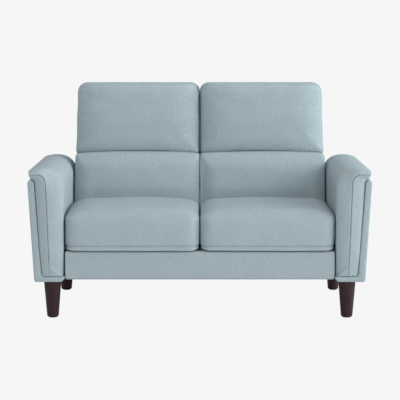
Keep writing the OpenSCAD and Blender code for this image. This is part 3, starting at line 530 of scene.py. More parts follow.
def edge_weights(p, width, depth):
    """How far each point belongs to the two sides, to the far edge and to the near edge."""
    side = np.abs(2 * p[:, 0] / width) ** EDGE_BLEND + SIDE_WEIGHT_LEAST
    far = np.where(p[:, 1] > 0, (2 * p[:, 1] / depth) ** EDGE_BLEND, 0)
    near = np.where(p[:, 1] < 0, (2 * p[:, 1] / depth) ** EDGE_BLEND, 0)
    return np.stack([side, far, near], 1) / (side + far + near)[:, None]


def pillow(name, width, depth, form):
    """A pillow on Z = 0, as thick as its form says. rolls say how far in its side, far and near edges begin
    to roll down, drops say how far down they roll, and dome is the crown's rise over the sides and over the
    far and near edges. soft is the share of its sides' roll that ends in a slope instead of upright. corners
    are its radii at the far and near ends, pull is how far the sides draw in between them, and foot is how
    far its underside's edge is cut away."""
    reach = min(width, depth) / 2
    foot = form["foot"]

    def inset_ring(inset):
        radii = [max(SMALLEST_CORNER, min(r, (reach - inset) * CORNER_SHARE)) for r in form["corners"]]
        return ring(width - 2 * inset, depth - 2 * inset, radii, form["pull"] * (1 - inset / reach))

    def crown(p):
        sideways, lengthways = 2 * p[:, 0] / width, 2 * p[:, 1] / depth
        return form["thick"] - form["dome"][0] * sideways ** 2 - form["dome"][1] * lengthways ** 2

    base = inset_ring(0)
    rings = [np.column_stack([inset_ring(foot * share), np.zeros(len(base))]) for share in (1, 0.5)]
    wall_top = crown(base) - edge_weights(base, width, depth) @ np.array(form["drops"])
    for q in np.linspace(0, 1, WALL_RINGS):
        rings.append(np.column_stack([base, foot + (wall_top - foot) * q]))
    for q in np.linspace(0, 1, CROWN_RINGS)[1:]:
        inset = reach * INNERMOST_RING * q ** RING_CROWDING
        p = inset_ring(inset)
        weights = edge_weights(p, width, depth)
        roll = weights @ np.array(form["rolls"])
        drop = weights @ np.array(form["drops"])
        s = 1 - np.minimum(1, inset / roll)
        fall = 1 - np.sqrt(1 - s * s)
        fall += weights[:, 0] * form["soft"] * (s ** 3 - fall)
        rings.append(np.column_stack([p, crown(p) - drop * fall]))
    n = len(base)
    faces = [list(range(n - 1, -1, -1)), [(len(rings) - 1) * n + i for i in range(n)]]
    for j in range(len(rings) - 1):
        for i in range(n):
            k = (i + 1) % n
            faces.append([j * n + i, j * n + k, (j + 1) * n + k, (j + 1) * n + i])
    return new_object(name, np.concatenate(rings), faces)


# Pads on the backs: they stand on a plane that leans back

BACK_LEAN = math.radians(6.5)
BACK_UP = (0, math.sin(BACK_LEAN), math.cos(BACK_LEAN))
BACK_OUT = (0, -math.cos(BACK_LEAN), math.sin(BACK_LEAN))
CREASE_BOW = 0.010
CREASE_LAP = 0.002
TOP_DROP = 0.0022

LUMBAR = {"thick": 0.166, "rolls": (0.100, 0.070, 0.075), "drops": (0.030, 0.040, 0.050),
          "dome": (0.010, 0.008), "corners": (0.008, 0.030), "soft": 1.0, "pull": 0.0015, "foot": 0.004,
          "gap": 0.0002, "seed": 3}
HEADREST = {"thick": 0.116, "rolls": (0.130, 0.034, 0.050), "drops": (0.058, 0.022, 0.020),
            "dome": (0.010, 0.006), "corners": (0.050, 0.008), "soft": 0.0, "pull": 0.0015, "foot": 0.004,
            "gap": 0.0036, "seed": 7}
PAD_RIPPLE = (0.16, 0.0022)

# Depths in front of the leaning plane between which the gap beside a pad opens
GAP_OPENS = (0.015, 0.045)
TOUCH_GAP = 0.0002
MEET_POWER = 4

# Shares of a pad's width and height over which a change of form comes in
NEAR_MIDDLE = (0, 0.05)
BELOW_TOP = (0, 0.3)
SPREAD_ENDS = (0.6, 1)
BESIDE_ARM = (0.82, 1)
ARM_SIDE_ENDS = (0.35, 0.8)
LIFTED_TOP = (0.9, 1)
LAPPED_FOOT = (0, 0.15)
HEAD_FULL_ENDS = (0.75, 1)
DROPPED_TOP = (0.72, 1)

LUMBAR_LIFT = 0.0066
LUMBAR_SPREAD = 0.0042
LUMBAR_FULL_INSIDE = 0.005
LUMBAR_FULL_AT_ARM = 0.020
LUMBAR_EDGE_FULL = 0.013
LUMBAR_EDGE_REACH = 0.010
LUMBAR_SWELL = 0.005
LUMBAR_TUCK = 0.005
TUCK_FROM_SEAT = (-0.02, 0.035)
HEAD_TAPER = (-0.0055, 0.0045)
HEAD_FULL = 0.003


def lay_on_back(piece, low, high, height, bow_top):
    """Stands a pillow on the leaning plane: its length runs up the plane and its thickness to the front."""
    co = points(piece)
    mid_x = (low.x + high.x) / 2
    half_w = (high.x - low.x) / 2
    up = co[:, 1] / height + 0.5
    lift = CREASE_BOW * (1 - (co[:, 0] / half_w) ** 2) * (up if bow_top else 1 - up)
    z = low.z + co[:, 1] + height / 2
    y = high.y + (z - low.z - height) * math.tan(BACK_LEAN) - co[:, 2]
    set_points(piece, np.column_stack([co[:, 0] + mid_x, y, z + lift]))
    piece.data.flip_normals()


def meet_in_middle(piece, low, high, height, gap):
    """Brings a pad's inner side to a given distance from the middle of the settee at its front. Deeper down
    the two pads touch."""
    co = points(piece)
    inner = np.abs(co[:, 0]).min()
    outer = np.abs(co[:, 0]).max()
    near = (outer - np.abs(co[:, 0])) / (outer - inner)
    forward = high.y + (co[:, 2] - low.z - height) * math.tan(BACK_LEAN) - co[:, 1]
    target = TOUCH_GAP + (gap - TOUCH_GAP) * smooth_step(forward, *GAP_OPENS)
    move_outwards(co, (target - inner) * near ** MEET_POWER)
    set_points(piece, co)


def shape_headrest(piece, low, high):
    """Laps the headrest's foot over the lumbar pad, tapers its outer edge towards the top and fills out its
    inner edge."""
    co = points(piece)
    up = height_share(co, low, high)
    outer = outer_share(co, low, high)
    move_outwards(co, outer ** 2 * (HEAD_TAPER[1] + (HEAD_TAPER[0] - HEAD_TAPER[1]) * up))
    co[:, 1] -= HEAD_FULL * fade(outer, *NEAR_MIDDLE) * fade(up, *HEAD_FULL_ENDS)
    co[:, 2] -= CREASE_LAP * fade(up, *LAPPED_FOOT) + TOP_DROP * smooth_step(up, *DROPPED_TOP)
    set_points(piece, co)


def shape_lumbar(piece, low, high):
    """Lifts the pad's top edge up to the headrest, spreads its lower half out to the arm, swells it to the
    front above the seat and tucks it in behind the seat. Its front is filled out beside the other pad and
    beside the arm."""
    co = points(piece)
    up = height_share(co, low, high)
    outer = outer_share(co, low, high)
    seat_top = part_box("seat_cushion_right")[1].z
    tuck_low, tuck_high = seat_top + TUCK_FROM_SEAT[0], seat_top + TUCK_FROM_SEAT[1]
    below_top = smooth_step(1 - up, *BELOW_TOP)
    move_outwards(co, outer ** 2 * LUMBAR_SPREAD * fade(up, *SPREAD_ENDS))
    co[:, 1] -= LUMBAR_FULL_INSIDE * fade(outer, *NEAR_MIDDLE) * below_top
    co[:, 1] -= LUMBAR_SWELL * (1 - up)
    co[:, 1] += LUMBAR_TUCK * fade(co[:, 2], tuck_low, tuck_high)
    co[:, 1] -= LUMBAR_EDGE_FULL * fade(np.abs(co[:, 0]), 0, LUMBAR_EDGE_REACH) * below_top
    sharpen_inner_edge(co)
    co[:, 1] -= LUMBAR_FULL_AT_ARM * smooth_step(outer, *BESIDE_ARM) * fade(up, *ARM_SIDE_ENDS)
    co[:, 2] += LUMBAR_LIFT * smooth_step(up, *LIFTED_TOP)
    set_points(piece, co)


def back_pad(side, kind, form, bow_top, shape):
    """One pad of a back. bow_top says that its top edge is bowed by the crease, and not its foot."""
    node = kind + "_pad_" + side
    low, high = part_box(node)
    height = high.z - low.z - (CREASE_BOW if bow_top else 0)
    piece = pillow(node + "_cover", high.x - low.x, height, form)
    lay_on_back(piece, low, high, height, bow_top)
    plumped(piece)
    meet_in_middle(piece, low, high, height, form["gap"])
    shape(piece, low, high)
    ripple(piece, *PAD_RIPPLE, SIDES[side] + form["seed"], (1, 1, 2))
    weave_coordinates(piece, (1, 0, 0), BACK_UP, BACK_OUT, -low.y)
    finish_cover(piece, node)


# Seat cushions

SEAT = {"thick": 0.187, "rolls": (0.090, 0.030, 0.052), "drops": (0.030, 0.024, 0.050),
        "dome": (0.012, 0.008), "corners": (0.026, 0.046), "soft": 0.0, "pull": 0.001, "foot": 0.006}
SEAT_RIPPLE = (0.15, 0.0025)
SEAT_SEED = 11
SEAT_SPREAD = (0.0030, 0.0052)
SEAT_SPREAD_Z = (0.02, 0.07)
SEAT_SEAM_Z = 0.0175
SEAT_SEAM_DEPTH = 0.0060
SEAT_SEAM_W = 0.0036
SEAT_FOOT_DROP = 0.002
SEAT_FOOT_Y = (0.006, 0.030)
SEAT_FOOT_Z = 0.03
SEAT_FRONT_Y = (0.02, 0.06)
SEAT_INNER_FULL = 0.005
SEAT_FOOT_FULL = 0.004
ZIP_SHOW = 0.0004
ZIP_EDGE = 0.006

# Upward shares of a normal between which a wall turns into a top or an underside
WALL_TURN = (0.5, 0.9)


def shape_seat(co, low, high):
    """Spreads the cushion's outer side, lowers the foot of its front, and makes the front's edges fuller and
    sharper beside the other cushion and along the rail."""
    middle = smooth_step(co[:, 2], low.z + SEAT_SPREAD_Z[0], low.z + SEAT_SPREAD_Z[1])
    spread_by = SEAT_SPREAD[0] + (SEAT_SPREAD[1] - SEAT_SPREAD[0]) * middle
    move_outwards(co, outer_share(co, low, high) ** 6 * spread_by)
    front_foot = fade(co[:, 1], low.y + SEAT_FOOT_Y[0], low.y + SEAT_FOOT_Y[1])
    front_foot *= fade(co[:, 2], low.z, low.z + SEAT_FOOT_Z)
    co[:, 2] -= SEAT_FOOT_DROP * front_foot

    front = fade(co[:, 1], low.y + SEAT_FRONT_Y[0], low.y + SEAT_FRONT_Y[1])
    inner = fade(np.abs(co[:, 0]), 0, EDGE_REACH)
    foot = fade(co[:, 2], low.z, low.z + EDGE_REACH)
    co[:, 1] -= front * np.maximum(SEAT_INNER_FULL * inner, SEAT_FOOT_FULL * foot)
    sharpen_inner_edge(co)
    rise = np.maximum(co[:, 2] - (low.z - SEAT_FOOT_DROP), 0)
    co[:, 2] -= front * (rise - sharpened(rise))


def open_at_zip(piece, zip_node):
    """Sinks a cushion's rear a little behind its zip, so that the zip shows."""
    low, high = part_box(zip_node)
    co = points(piece)
    beside = np.maximum(low.x - co[:, 0], co[:, 0] - high.x)
    above = np.maximum(low.z - co[:, 2], co[:, 2] - high.z)
    at_zip = fade(np.maximum(beside, above), 0, ZIP_EDGE) * (co[:, 1] > low.y - ZIP_EDGE)
    co[:, 1] -= np.maximum(co[:, 1] - (high.y - ZIP_SHOW), 0) * at_zip
    set_points(piece, co)


def seat_cushion(side):
    node = "seat_cushion_" + side
    low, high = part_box(node)
    piece = pillow(node + "_cover", high.x - low.x, high.y - low.y, SEAT)
    place = np.array([(low.x + high.x) / 2, (low.y + high.y) / 2, low.z])
    set_points(piece, points(piece) + place)
    plumped(piece)
    ripple(piece, *SEAT_RIPPLE, SEAT_SEED + SIDES[side])
    co = points(piece)
    shape_seat(co, low, high)
    set_points(piece, co)
    walls = fade(np.abs(normals(piece)[:, 2]), *WALL_TURN)
    groove(piece, co[:, 2] - low.z - SEAT_SEAM_Z, SEAT_SEAM_DEPTH, SEAT_SEAM_W, walls)
    open_at_zip(piece, "cushion_zip_" + side)
    weave_coordinates(piece, (1, 0, 0), (0, 1, 0), (0, 0, 1), high.z)
    finish_cover(piece, node, CUSHION_BODY[side])


# Covers over the backs, the base and the deck

BACK_TOP_REACH = 0.09
BACK_TOUCH = 0.00036
BACK_TOUCH_REACH = (0.0004, 0.02)
BACK_CROWN = 0.006
BACK_SEAM_INSET = 0.024
BACK_SEAM_DEPTH = 0.0030
BACK_SEAM_W = 0.0030
STRIP_DROP = 0.004
RAIL_DROP_REACH = 0.06
RAIL_TOP_DROP = 0.0026
RAIL_TOP_REACH = 0.03
DECK_RIPPLE = (0.11, 0.0016)
DECK_SEED = 21


def back_cover(side):
    """The outside back and its boxing: a slight crown on its rear face, and a seam sewn inside that face's
    edge. Beside the middle it is drawn up to the other back, so that no light comes between them."""
    node = "back_cover_" + side
    low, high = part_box(node)
    piece = soft_panel(node)
    subdivide(piece)
    co = points(piece)
    rear = smooth_step(normals(piece)[:, 1], *WALL_TURN)
    across = (co[:, 0] - low.x) / (high.x - low.x)
    up = (co[:, 2] - low.z) / (high.z - low.z)
    co[:, 2] -= TOP_DROP * smooth_step(co[:, 2], high.z - BACK_TOP_REACH, high.z)
    co[:, 0] -= SIDES[side] * BACK_TOUCH * fade(np.abs(co[:, 0]), *BACK_TOUCH_REACH)
    bulge = 16 * across * (1 - across) * up * (1 - up)
    co[:, 1] += BACK_CROWN * rear * np.sqrt(np.clip(bulge, 0, 1))
    set_points(piece, co)
    inside = np.minimum(np.minimum(co[:, 0] - low.x, high.x - co[:, 0]),
                        np.minimum(co[:, 2] - low.z, high.z - co[:, 2]))
    groove(piece, inside - BACK_SEAM_INSET, BACK_SEAM_DEPTH, BACK_SEAM_W, rear)
    finish_cover(piece, node)


def front_rail():
    """The upholstered apron. Its lower edge hangs a little below the board that it wraps, and its upper edge
    lies a little lower than the solid's."""
    node = "front_rail_cover"
    piece = soft_panel(node)
    co = points(piece)
    low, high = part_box(node)
    co[:, 2] -= STRIP_DROP * fade(co[:, 2], low.z, low.z + RAIL_DROP_REACH)
    co[:, 2] -= RAIL_TOP_DROP * smooth_step(co[:, 2], high.z - RAIL_TOP_REACH, high.z)
    set_points(piece, co)
    finish_cover(piece, node)


def deck_pad():
    """The felt pad over the springs, slightly uneven."""
    node = "seat_deck"
    piece = soft_panel(node)
    ripple(piece, *DECK_RIPPLE, DECK_SEED)
    finish_piece(piece, felt, SETTEE, node)


# Dust sheet under the seat

SHEET_STEP = 0.012
SHEET_SAG = 0.005
SCALLOP = 0.0012
SCALLOP_REACH = 0.02
STAPLE_PITCH = 0.055
STAPLE_INSET = 0.009
STAPLE_W = 0.011
STAPLE_T = 0.0009
STAPLE_SINK = 0.0004

# A staple's side view: X in half widths, Z in thicknesses
STAPLE_PROFILE = ((-1.0, 0.6), (-1.0, -0.4), (-0.86, -1.0), (0.86, -1.0), (1.0, -0.4), (1.0, 0.6))


def dust_sheet():
    """Spun cloth pulled taut under the frame, with a shallow scallop between each two staples."""
    low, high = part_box("dust_cover")
    w, d = high.x - low.x, high.y - low.y
    nx, ny = round(w / SHEET_STEP), round(d / SHEET_STEP)
    verts = []
    for j in range(ny + 1):
        for i in range(nx + 1):
            x, y = w * i / nx, d * j / ny
            inside = min(x, w - x, y, d - y)
            run = x if min(y, d - y) < min(x, w - x) else y
            sag = SHEET_SAG * (1 - (2 * x / w - 1) ** 4) * (1 - (2 * y / d - 1) ** 4)
            wave = abs(math.sin(math.pi * run / STAPLE_PITCH))
            scallop = SCALLOP * wave * math.exp(-inside / SCALLOP_REACH)
            verts.append((low.x + x, low.y + y, low.z + STAPLE_T - sag - scallop))
    across = nx + 1
    faces = [(j * across + i, (j + 1) * across + i, (j + 1) * across + i + 1, j * across + i + 1)
             for j in range(ny) for i in range(nx)]
    piece = new_object("dust_sheet", verts, faces)
    shade_smooth(piece)
    staples = staple_rows(low, high)
    finish_piece(piece, dust_cloth, SETTEE, "dust_cover")


def staple_rows(low, high):
    """Flat wire staples along the four edges of the sheet, each with bent-up ends."""
    verts = []
    faces = []

    def staple(x, y, along_x):
        for wide in (-STAPLE_T, STAPLE_T):
            for a, z in STAPLE_PROFILE:
                reach = a * STAPLE_W / 2
                px, py = (x + reach, y + wide) if along_x else (x + wide, y + reach)
                verts.append((px, py, low.z - STAPLE_SINK + z * STAPLE_T))
        n = len(STAPLE_PROFILE)
        base = len(verts) - 2 * n
        faces.append([base + i for i in range(n)])
        faces.append([base + n + i for i in range(n - 1, -1, -1)])
        for i in range(n):
            k = (i + 1) % n
            faces.append([base + i, base + n + i, base + n + k, base + k])

    for y in (low.y + STAPLE_INSET, high.y - STAPLE_INSET):
        count = round((high.x - low.x) / STAPLE_PITCH)
        for i in range(count):
            staple(low.x + (i + 0.5) * (high.x - low.x) / count, y, True)
    for x in (low.x + STAPLE_INSET, high.x - STAPLE_INSET):
        count = round((high.y - low.y) / STAPLE_PITCH)
        for i in range(count):
            staple(x, low.y + (i + 0.5) * (high.y - low.y) / count, False)
    piece = new_object("dust_sheet_staples", verts, faces)
    face_outwards(piece)
    finish_piece(piece, zinc, SETTEE)
    return piece


# Arms

CROWN_RISE = 0.011
CROWN_X = 0.092
CROWN_DROP = 0.0038
SHOULDER_H = 0.082
SHOULDER_POWER = 0.87
CREASE_OUT = 0.004
FLARE_POWER = 0.8
ARM_IN = 0.0046
PAD_GAP = 0.0022
ARM_REAR_R = 0.036
ARM_FORWARD = 0.012
ARM_FORWARD_Y = (0.02, 0.12)
ARM_RAISED_Z = 0.12
ARM_FOOT_FORWARD = 0.2
ARM_FOOT_DROP = 0.0029
ARM_FOOT_Z = 0.06

# The shell's slab and base strip
SLAB_LEAN = math.radians(3.3)
SLAB_R = 0.0145
SLAB_INNER_OUT = (-0.0004, 0.0032)
SLAB_INNER_OUT_Z = 0.40
SLAB_OUTER_OUT = 0.0017
SLAB_BEGINS = (-2.2, -1.2)
STRIP_DROP_Z = (0.03, 0.10)
STRIP_CUT = 0.006
STRIP_CUT_X = 0.035
STRIP_CUT_Z = (-0.004, 0.013)

# The front: its seam, how deep it rounds away from the seam and how late
SEAM_DROP = 0.014
SEAM_R = 0.034
SEAM_X = 0.075
SEAM_FOOT_X = 0.065
SEAM_GROOVE = 0.006
SEAM_PRESS = 0.0026
SEAM_W = 0.0022
SEAM_SHIFT = {"left": (0.003, 0.0), "right": (-0.005, -0.008)}
SEAM_POINTS = 240
SEAM_TURN_POINTS = 16
INNER_ROUND = 0.034
TOP_ROUND = 0.075
OUTER_ROUND = 0.022
OUTER_ROUND_LEAST = 0.5
FOOT_ROUND = 0.007
ROUND_SHARE = 1.3
EVEN_ROUND = 2
LATE_ROUND = 4
RIDGE_SHARE = (0.2, 0.46)
FRONT_STEPS = (0.03, 0.07, 0.13, 0.21, 0.3, 0.4, 0.5, 0.6, 0.69, 0.77, 0.84, 0.9, 0.945, 0.975, 0.993, 1.0)

# How many points each stretch of the section has, and how many rings each stretch of the length
INNER_POINTS = 24
SHOULDER_POINTS = 24
TOP_POINTS = 16
FLARE_POINTS = 10
SLAB_TOP_POINTS = 9
OUTER_POINTS = 26
FOOT_POINTS = 16
BODY_RINGS = 22
REAR_RINGS = 9

# Points after the crease in which the seam starts, and where the even rings begin behind the front's rounding
SEAM_START_WINDOW = 13
BODY_START = 0.012


def slab_inner_out(high, z):
    """How far outwards the slab's inner face moves, for the cover's thickness."""
    rise = smooth_step(z, high.z - SLAB_INNER_OUT_Z, high.z)
    return SLAB_INNER_OUT[0] + (SLAB_INNER_OUT[1] - SLAB_INNER_OUT[0]) * rise


def slab_centre_x(high, z):
    """X of the middle of the right slab's thickness at a height, from the slab's highest corner."""
    return high.x - SLAB_R - (high.z - SLAB_R - z) * math.tan(SLAB_LEAN)


def slab_side_x(high, z):
    """X of the right slab's inner face at a height."""
    return slab_centre_x(high, z) - SLAB_R / math.cos(SLAB_LEAN) + slab_inner_out(high, z)


def arm_shell(side):
    """The outer shell. Its slab's faces move outwards a little, and its base strip hangs lower and ends
    sooner under the seat."""
    node = "arm_shell_" + side
    low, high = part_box("arm_shell_right")
    piece = soft_panel(node, FINE_VOXEL, 2)
    co = points(piece)
    x = co[:, 0] * SIDES[side]
    across = (x - slab_centre_x(high, co[:, 2])) / SLAB_R
    inner_out = slab_inner_out(high, co[:, 2])
    slab_out = inner_out + (SLAB_OUTER_OUT - inner_out) * (np.clip(across, -1, 1) + 1) / 2
    x = x + smooth_step(across, *SLAB_BEGINS) * slab_out
    inner_end = fade(x, low.x, low.x + STRIP_CUT_X)
    x = x + STRIP_CUT * inner_end * fade(co[:, 2], low.z + STRIP_CUT_Z[0], low.z + STRIP_CUT_Z[1])
    co[:, 0] = x * SIDES[side]
    co[:, 2] -= STRIP_DROP * fade(co[:, 2], low.z + STRIP_DROP_Z[0], low.z + STRIP_DROP_Z[1])
    set_points(piece, co)
    finish_cover(piece, node)


def arm_section(low, high, shell_high):
    """Points round the right arm's section from its inner foot over the top to its outer foot and back. Each
    has X, Z, the depth over which the arm's front rounds into it and the power of that rounding."""
    inner, crown_z, crease_x = low.x + ARM_IN, high.z - CROWN_DROP, high.x + CREASE_OUT
    slab_top = shell_high.z - SLAB_R
    around = SLAB_R + PAD_GAP
    crease_z = crown_z - CROWN_RISE
    crown_x = inner + CROWN_X
    low_z = crown_z - SHOULDER_H
    rows = [(inner, z, INNER_ROUND, LATE_ROUND - (LATE_ROUND - EVEN_ROUND) * (z - low.z) / (low_z - low.z))
            for z in np.linspace(low.z, low_z, INNER_POINTS)[:-1]]
    for a in np.linspace(0, math.pi / 2, SHOULDER_POINTS):
        rows.append((crown_x - (crown_x - inner) * math.cos(a) ** SHOULDER_POWER,
                     low_z + SHOULDER_H * math.sin(a) ** SHOULDER_POWER,
                     INNER_ROUND + (TOP_ROUND - INNER_ROUND) * math.sin(a), EVEN_ROUND))
    for t in np.linspace(0, 1, TOP_POINTS)[1:]:
        rows.append((crown_x + (crease_x - crown_x) * t, crown_z - CROWN_RISE * t * t, TOP_ROUND, EVEN_ROUND))
    rest_x, rest_z = slab_side_x(shell_high, slab_top) + SLAB_R, slab_top + around
    for t in np.linspace(1, 0, FLARE_POINTS)[1:-1]:
        rows.append((rest_x + (crease_x - rest_x) * t ** FLARE_POWER, rest_z + (crease_z - rest_z) * t,
                     OUTER_ROUND, LATE_ROUND))
    for a in np.linspace(math.pi / 2, math.pi - SLAB_LEAN, SLAB_TOP_POINTS):
        rows.append((rest_x + around * math.cos(a), slab_top + around * math.sin(a), OUTER_ROUND, LATE_ROUND))
    for z in np.linspace(slab_top, low.z, OUTER_POINTS)[1:]:
        share = OUTER_ROUND_LEAST + (1 - OUTER_ROUND_LEAST) * (z - low.z) / (slab_top - low.z)
        rows.append((slab_side_x(shell_high, z) - PAD_GAP, z, OUTER_ROUND * share, LATE_ROUND))
    foot_x = rows[-1][0]
    for x in np.linspace(foot_x, inner, FOOT_POINTS)[1:-1]:
        rows.append((x, low.z, FOOT_ROUND, LATE_ROUND))
    return np.array(rows)


def seam_line(inner, crease_z, edge_x, foot_z, shift):
    """Points along the front seam of an arm, from its outer edge to its foot, as if it was the right one.
    shift moves the seam outwards at its top and at its foot."""
    run_z = crease_z - SEAM_DROP
    down_x = inner + SEAM_X + shift[0]
    turn = (down_x + SEAM_R, run_z - SEAM_R)
    line = [(edge_x, run_z)]
    line += [(turn[0] + SEAM_R * math.cos(a), turn[1] + SEAM_R * math.sin(a))
             for a in np.linspace(math.pi / 2, math.pi, SEAM_TURN_POINTS)]
    line.append((inner + SEAM_FOOT_X + shift[1], foot_z))
    return resample(np.array(line), SEAM_POINTS)


def lengths_along(line):
    return np.concatenate([[0], np.cumsum(np.linalg.norm(np.diff(line, axis=0), axis=1))])


def resample(line, count):
    length = lengths_along(line)
    at = np.linspace(0, length[-1], count)
    return np.column_stack([np.interp(at, length, line[:, k]) for k in range(line.shape[1])])


def arc_positions(line):
    length = lengths_along(line)
    return length / length[-1]


def round_inset(r, s):
    """How far a quarter round of radius r draws in at s from its end."""
    return r - math.sqrt(max(0, r * r - (r - s) ** 2))


def front_round(t, powers):
    """Share of the rounding's depth at share t of the way from the front seam to the arm's side. The higher
    the power, the later it rounds."""
    ridge = np.interp(powers, (EVEN_ROUND, LATE_ROUND), RIDGE_SHARE)
    return ridge * t + (1 - ridge) * (1 - np.sqrt(np.maximum(0, 1 - t ** powers)))


def seam_targets(section, low, high, shift):
    """Splits the section in two paths between the seam's ends, and gives for each of its points the seam's
    point that faces it and how far along the seam that is."""
    n = len(section)
    crease_z = high.z - CROWN_DROP - CROWN_RISE
    crease_i = int(np.argmax(section[:, 0]))
    start = min(range(crease_i, crease_i + SEAM_START_WINDOW),
                key=lambda i: abs(section[i, 1] - crease_z + SEAM_DROP))
    foot = min(range(n - FOOT_POINTS + 1, n), key=lambda i: abs(section[i, 0] - low.x - SEAM_FOOT_X))
    seam = seam_line(low.x, crease_z, section[start, 0], low.z, shift)
    seam_at = arc_positions(seam)
    paths = (list(range(start, foot + 1)), [i % n for i in range(start + n, foot - 1, -1)])
    target = np.zeros((n, 2))
    place = np.zeros(n)
    for path in paths:
        at = arc_positions(section[path][:, :2])
        place[path] = at
        target[path] = np.column_stack([np.interp(at, seam_at, seam[:, k]) for k in (0, 1)])
    return paths, target, place


def arm_rings(section, target, low, high, flare_z):
    """Rings from the arm's front seam out to its sides, along its length and round its rear edges, as points
    and faces. Also gives the first ring."""
    n = len(section)
    verts = []
    rings = []
    across = np.linalg.norm(section[:, :2] - target, axis=1)
    depth = np.minimum(section[:, 2], ROUND_SHARE * across)

    def add_ring(x, y, z):
        verts.extend(zip(x, y, z))
        rings.append(list(range(len(verts) - n, len(verts))))

    for t in FRONT_STEPS:
        at = target + (section[:, :2] - target) * t
        press = SEAM_PRESS * np.exp(-(across * t / SEAM_W) ** 2)
        add_ring(at[:, 0], low.y + depth * front_round(t, section[:, 3]) + press, at[:, 1])
    for y in np.linspace(low.y + TOP_ROUND + BODY_START, high.y - ARM_REAR_R, BODY_RINGS):
        add_ring(section[:, 0], np.full(n, y), section[:, 1])
    drop_share = np.clip((section[:, 1] - flare_z) / (high.z - flare_z), 0, 1)
    for q in np.linspace(1, 0, REAR_RINGS)[1:]:
        at = ARM_REAR_R * q
        drop = round_inset(ARM_REAR_R, at)
        add_ring(section[:, 0], np.full(n, high.y - at), section[:, 1] - drop * drop_share)
    faces = []
    for ring_a, ring_b in zip(rings, rings[1:]):
        for i in range(n):
            k = (i + 1) % n
            faces.append([ring_a[i], ring_b[i], ring_b[k], ring_a[k]])
    faces.append(rings[-1])
    return verts, faces, rings[0]


def sew_seam(verts, faces, front, paths, target, place, seam_y):
    """Closes the arm's front along its seam, from the first ring down into the seam's groove."""
    edges = []
    for path in paths:
        row = [front[path[0]]]
        for i in path[1:-1]:
            row.append(len(verts))
            verts.append((target[i, 0], seam_y, target[i, 1]))
        row.append(front[path[-1]])
        for a, b, i, k in zip(row, row[1:], path, path[1:]):
            face = list(dict.fromkeys((a, b, front[k], front[i])))
            if len(face) > 2:
                faces.append(face)
        edges.append((row, place[path]))
    faces += sewn_rows(*edges[0], *edges[1])


def sewn_rows(row_a, at_a, row_b, at_b):
    """Triangles between two rows of points that share their ends and lie on one line."""
    faces = []
    a = b = 0
    while a < len(row_a) - 1 or b < len(row_b) - 1:
        if b == len(row_b) - 1 or (a < len(row_a) - 1 and at_a[a + 1] <= at_b[b + 1]):
            corners = (row_a[a], row_a[a + 1], row_b[b])
            a += 1
        else:
            corners = (row_a[a], row_b[b + 1], row_b[b])
            b += 1
        if len(set(corners)) == 3:
            faces.append(corners)
    return faces


def arm_pad(side):
    """The padded arm, made as the right one and mirrored for the left."""
    node = "arm_pad_" + side
    low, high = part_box("arm_pad_right")
    shell_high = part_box("arm_shell_right")[1]
    section = arm_section(low, high, shell_high)
    paths, target, place = seam_targets(section, low, high, SEAM_SHIFT[side])
    verts, faces, front = arm_rings(section, target, low, high, shell_high.z - SLAB_R)
    sew_seam(verts, faces, front, paths, target, place, low.y + SEAM_GROOVE)
    verts = np.array(verts)
    verts[:, 0] *= SIDES[side]
    above_foot = smooth_step(verts[:, 2], low.z, low.z + ARM_RAISED_Z)
    raised = ARM_FOOT_FORWARD + (1 - ARM_FOOT_FORWARD) * above_foot
    front_end = fade(verts[:, 1], low.y + ARM_FORWARD_Y[0], low.y + ARM_FORWARD_Y[1])
    verts[:, 1] -= ARM_FORWARD * raised * front_end
    verts[:, 2] -= ARM_FOOT_DROP * fade(verts[:, 2], low.z, low.z + ARM_FOOT_Z)
    piece = new_object(node + "_cover", verts, faces)
    face_outwards(piece)
    shade_smooth(piece)
    weave_coordinates(piece, (1, 0, 0), (0, 0, 1), (0, -1, 0), -low.y)
    finish_cover(piece, node)


for side in SIDES:
    back_pad(side, "lumbar", LUMBAR, True, shape_lumbar)
    back_pad(side, "headrest", HEADREST, False, shape_headrest)
    seat_cushion(side)
    back_cover(side)
    arm_pad(side)
    arm_shell(side)
front_rail()
deck_pad()
dust_sheet()


# Floor, light and camera

BACKGROUND = (0.922, 0.922, 0.922)
FLOOR_COLOR = (0.85, 0.85, 0.85)
FLOOR_REACH = 12
WORLD_FILL = 0.64
LAMPS = {
    "key": {"place": (7.84, -5.04, 4.28), "aim_z": 0.5, "size": (4.2, 4.2), "watts": 296},
    "side key": {"place": (9.1, -1.12, 2.88), "aim_z": 0.5, "size": (4.2, 4.2), "watts": 462},
    "front fill": {"place": (-0.6, -7.6, 3.0), "aim_z": 0.5, "size": (4.5, 3.0), "watts": 63},
    "overhead": {"place": (0.4, -0.6, 4.2), "aim_z": 0.4, "size": (4.0, 3.0), "watts": 22},
}


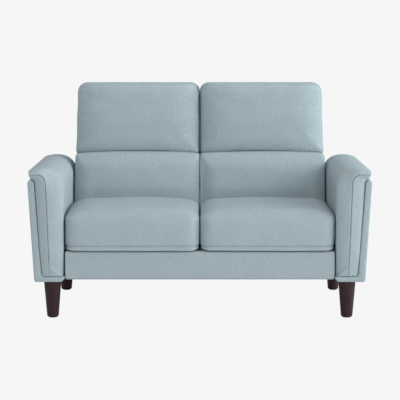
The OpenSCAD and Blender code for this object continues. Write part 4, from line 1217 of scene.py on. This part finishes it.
def seen_or_lit(tree, out, lit, seen):
    """Shows the camera one shader and everything else another."""
    path = add_node(tree, "ShaderNodeLightPath")
    inputs = {0: path.outputs["Is Camera Ray"], 1: lit.outputs[0], 2: seen.outputs[0]}
    mix = add_node(tree, "ShaderNodeMixShader", inputs)
    tree.links.new(mix.outputs[0], out.inputs["Surface"])


def stage_floor():
    reach = FLOOR_REACH
    corners = [(-reach, -reach, 0), (reach, -reach, 0), (reach, reach, 0), (-reach, reach, 0)]
    floor = new_object("floor", corners, [(0, 1, 2, 3)])
    material, tree, shader = new_material("pale floor", FLOOR_COLOR, 0.9)
    glow = add_node(tree, "ShaderNodeEmission", {"Color": (*BACKGROUND, 1), "Strength": 1.0})
    seen_or_lit(tree, tree.nodes["Material Output"], shader, glow)
    floor.data.materials.append(material)


def world_light():
    world = bpy.data.worlds.new("studio")
    bpy.context.scene.world = world
    world.use_nodes = True
    tree = world.node_tree
    tree.nodes.clear()
    out = tree.nodes.new("ShaderNodeOutputWorld")
    fill = add_node(tree, "ShaderNodeBackground", {"Color": (1, 1, 1, 1), "Strength": WORLD_FILL})
    seen = add_node(tree, "ShaderNodeBackground", {"Color": (*BACKGROUND, 1), "Strength": 1.0})
    seen_or_lit(tree, out, fill, seen)


def area_light(name, place, aim_z, size, watts):
    lamp = bpy.data.lights.new(name, "AREA")
    lamp.shape = "RECTANGLE"
    lamp.size, lamp.size_y = size
    lamp.energy = watts
    holder = bpy.data.objects.new(name, lamp)
    bpy.context.scene.collection.objects.link(holder)
    holder.location = place
    aim = Vector((0, 0, aim_z)) - Vector(place)
    holder.rotation_euler = aim.to_track_quat("-Z", "Y").to_euler()


def place_camera():
    data = bpy.data.cameras.new("camera")
    data.sensor_fit = "HORIZONTAL"
    data.sensor_width = SENSOR * 1000
    data.lens = SENSOR * 1000 * FOCAL_SHARE
    data.shift_x = PRINCIPAL_SHIFT
    camera = bpy.data.objects.new("camera", data)
    bpy.context.scene.collection.objects.link(camera)
    camera.location = (0, CAMERA_Y, CAMERA_Z)
    camera.rotation_euler = (math.pi / 2 - CAMERA_PITCH, 0, 0)
    bpy.context.scene.camera = camera


stage_floor()
world_light()
for name, lamp in LAMPS.items():
    area_light(name, **lamp)
place_camera()
bpy.context.scene.view_settings.view_transform = "Standard"
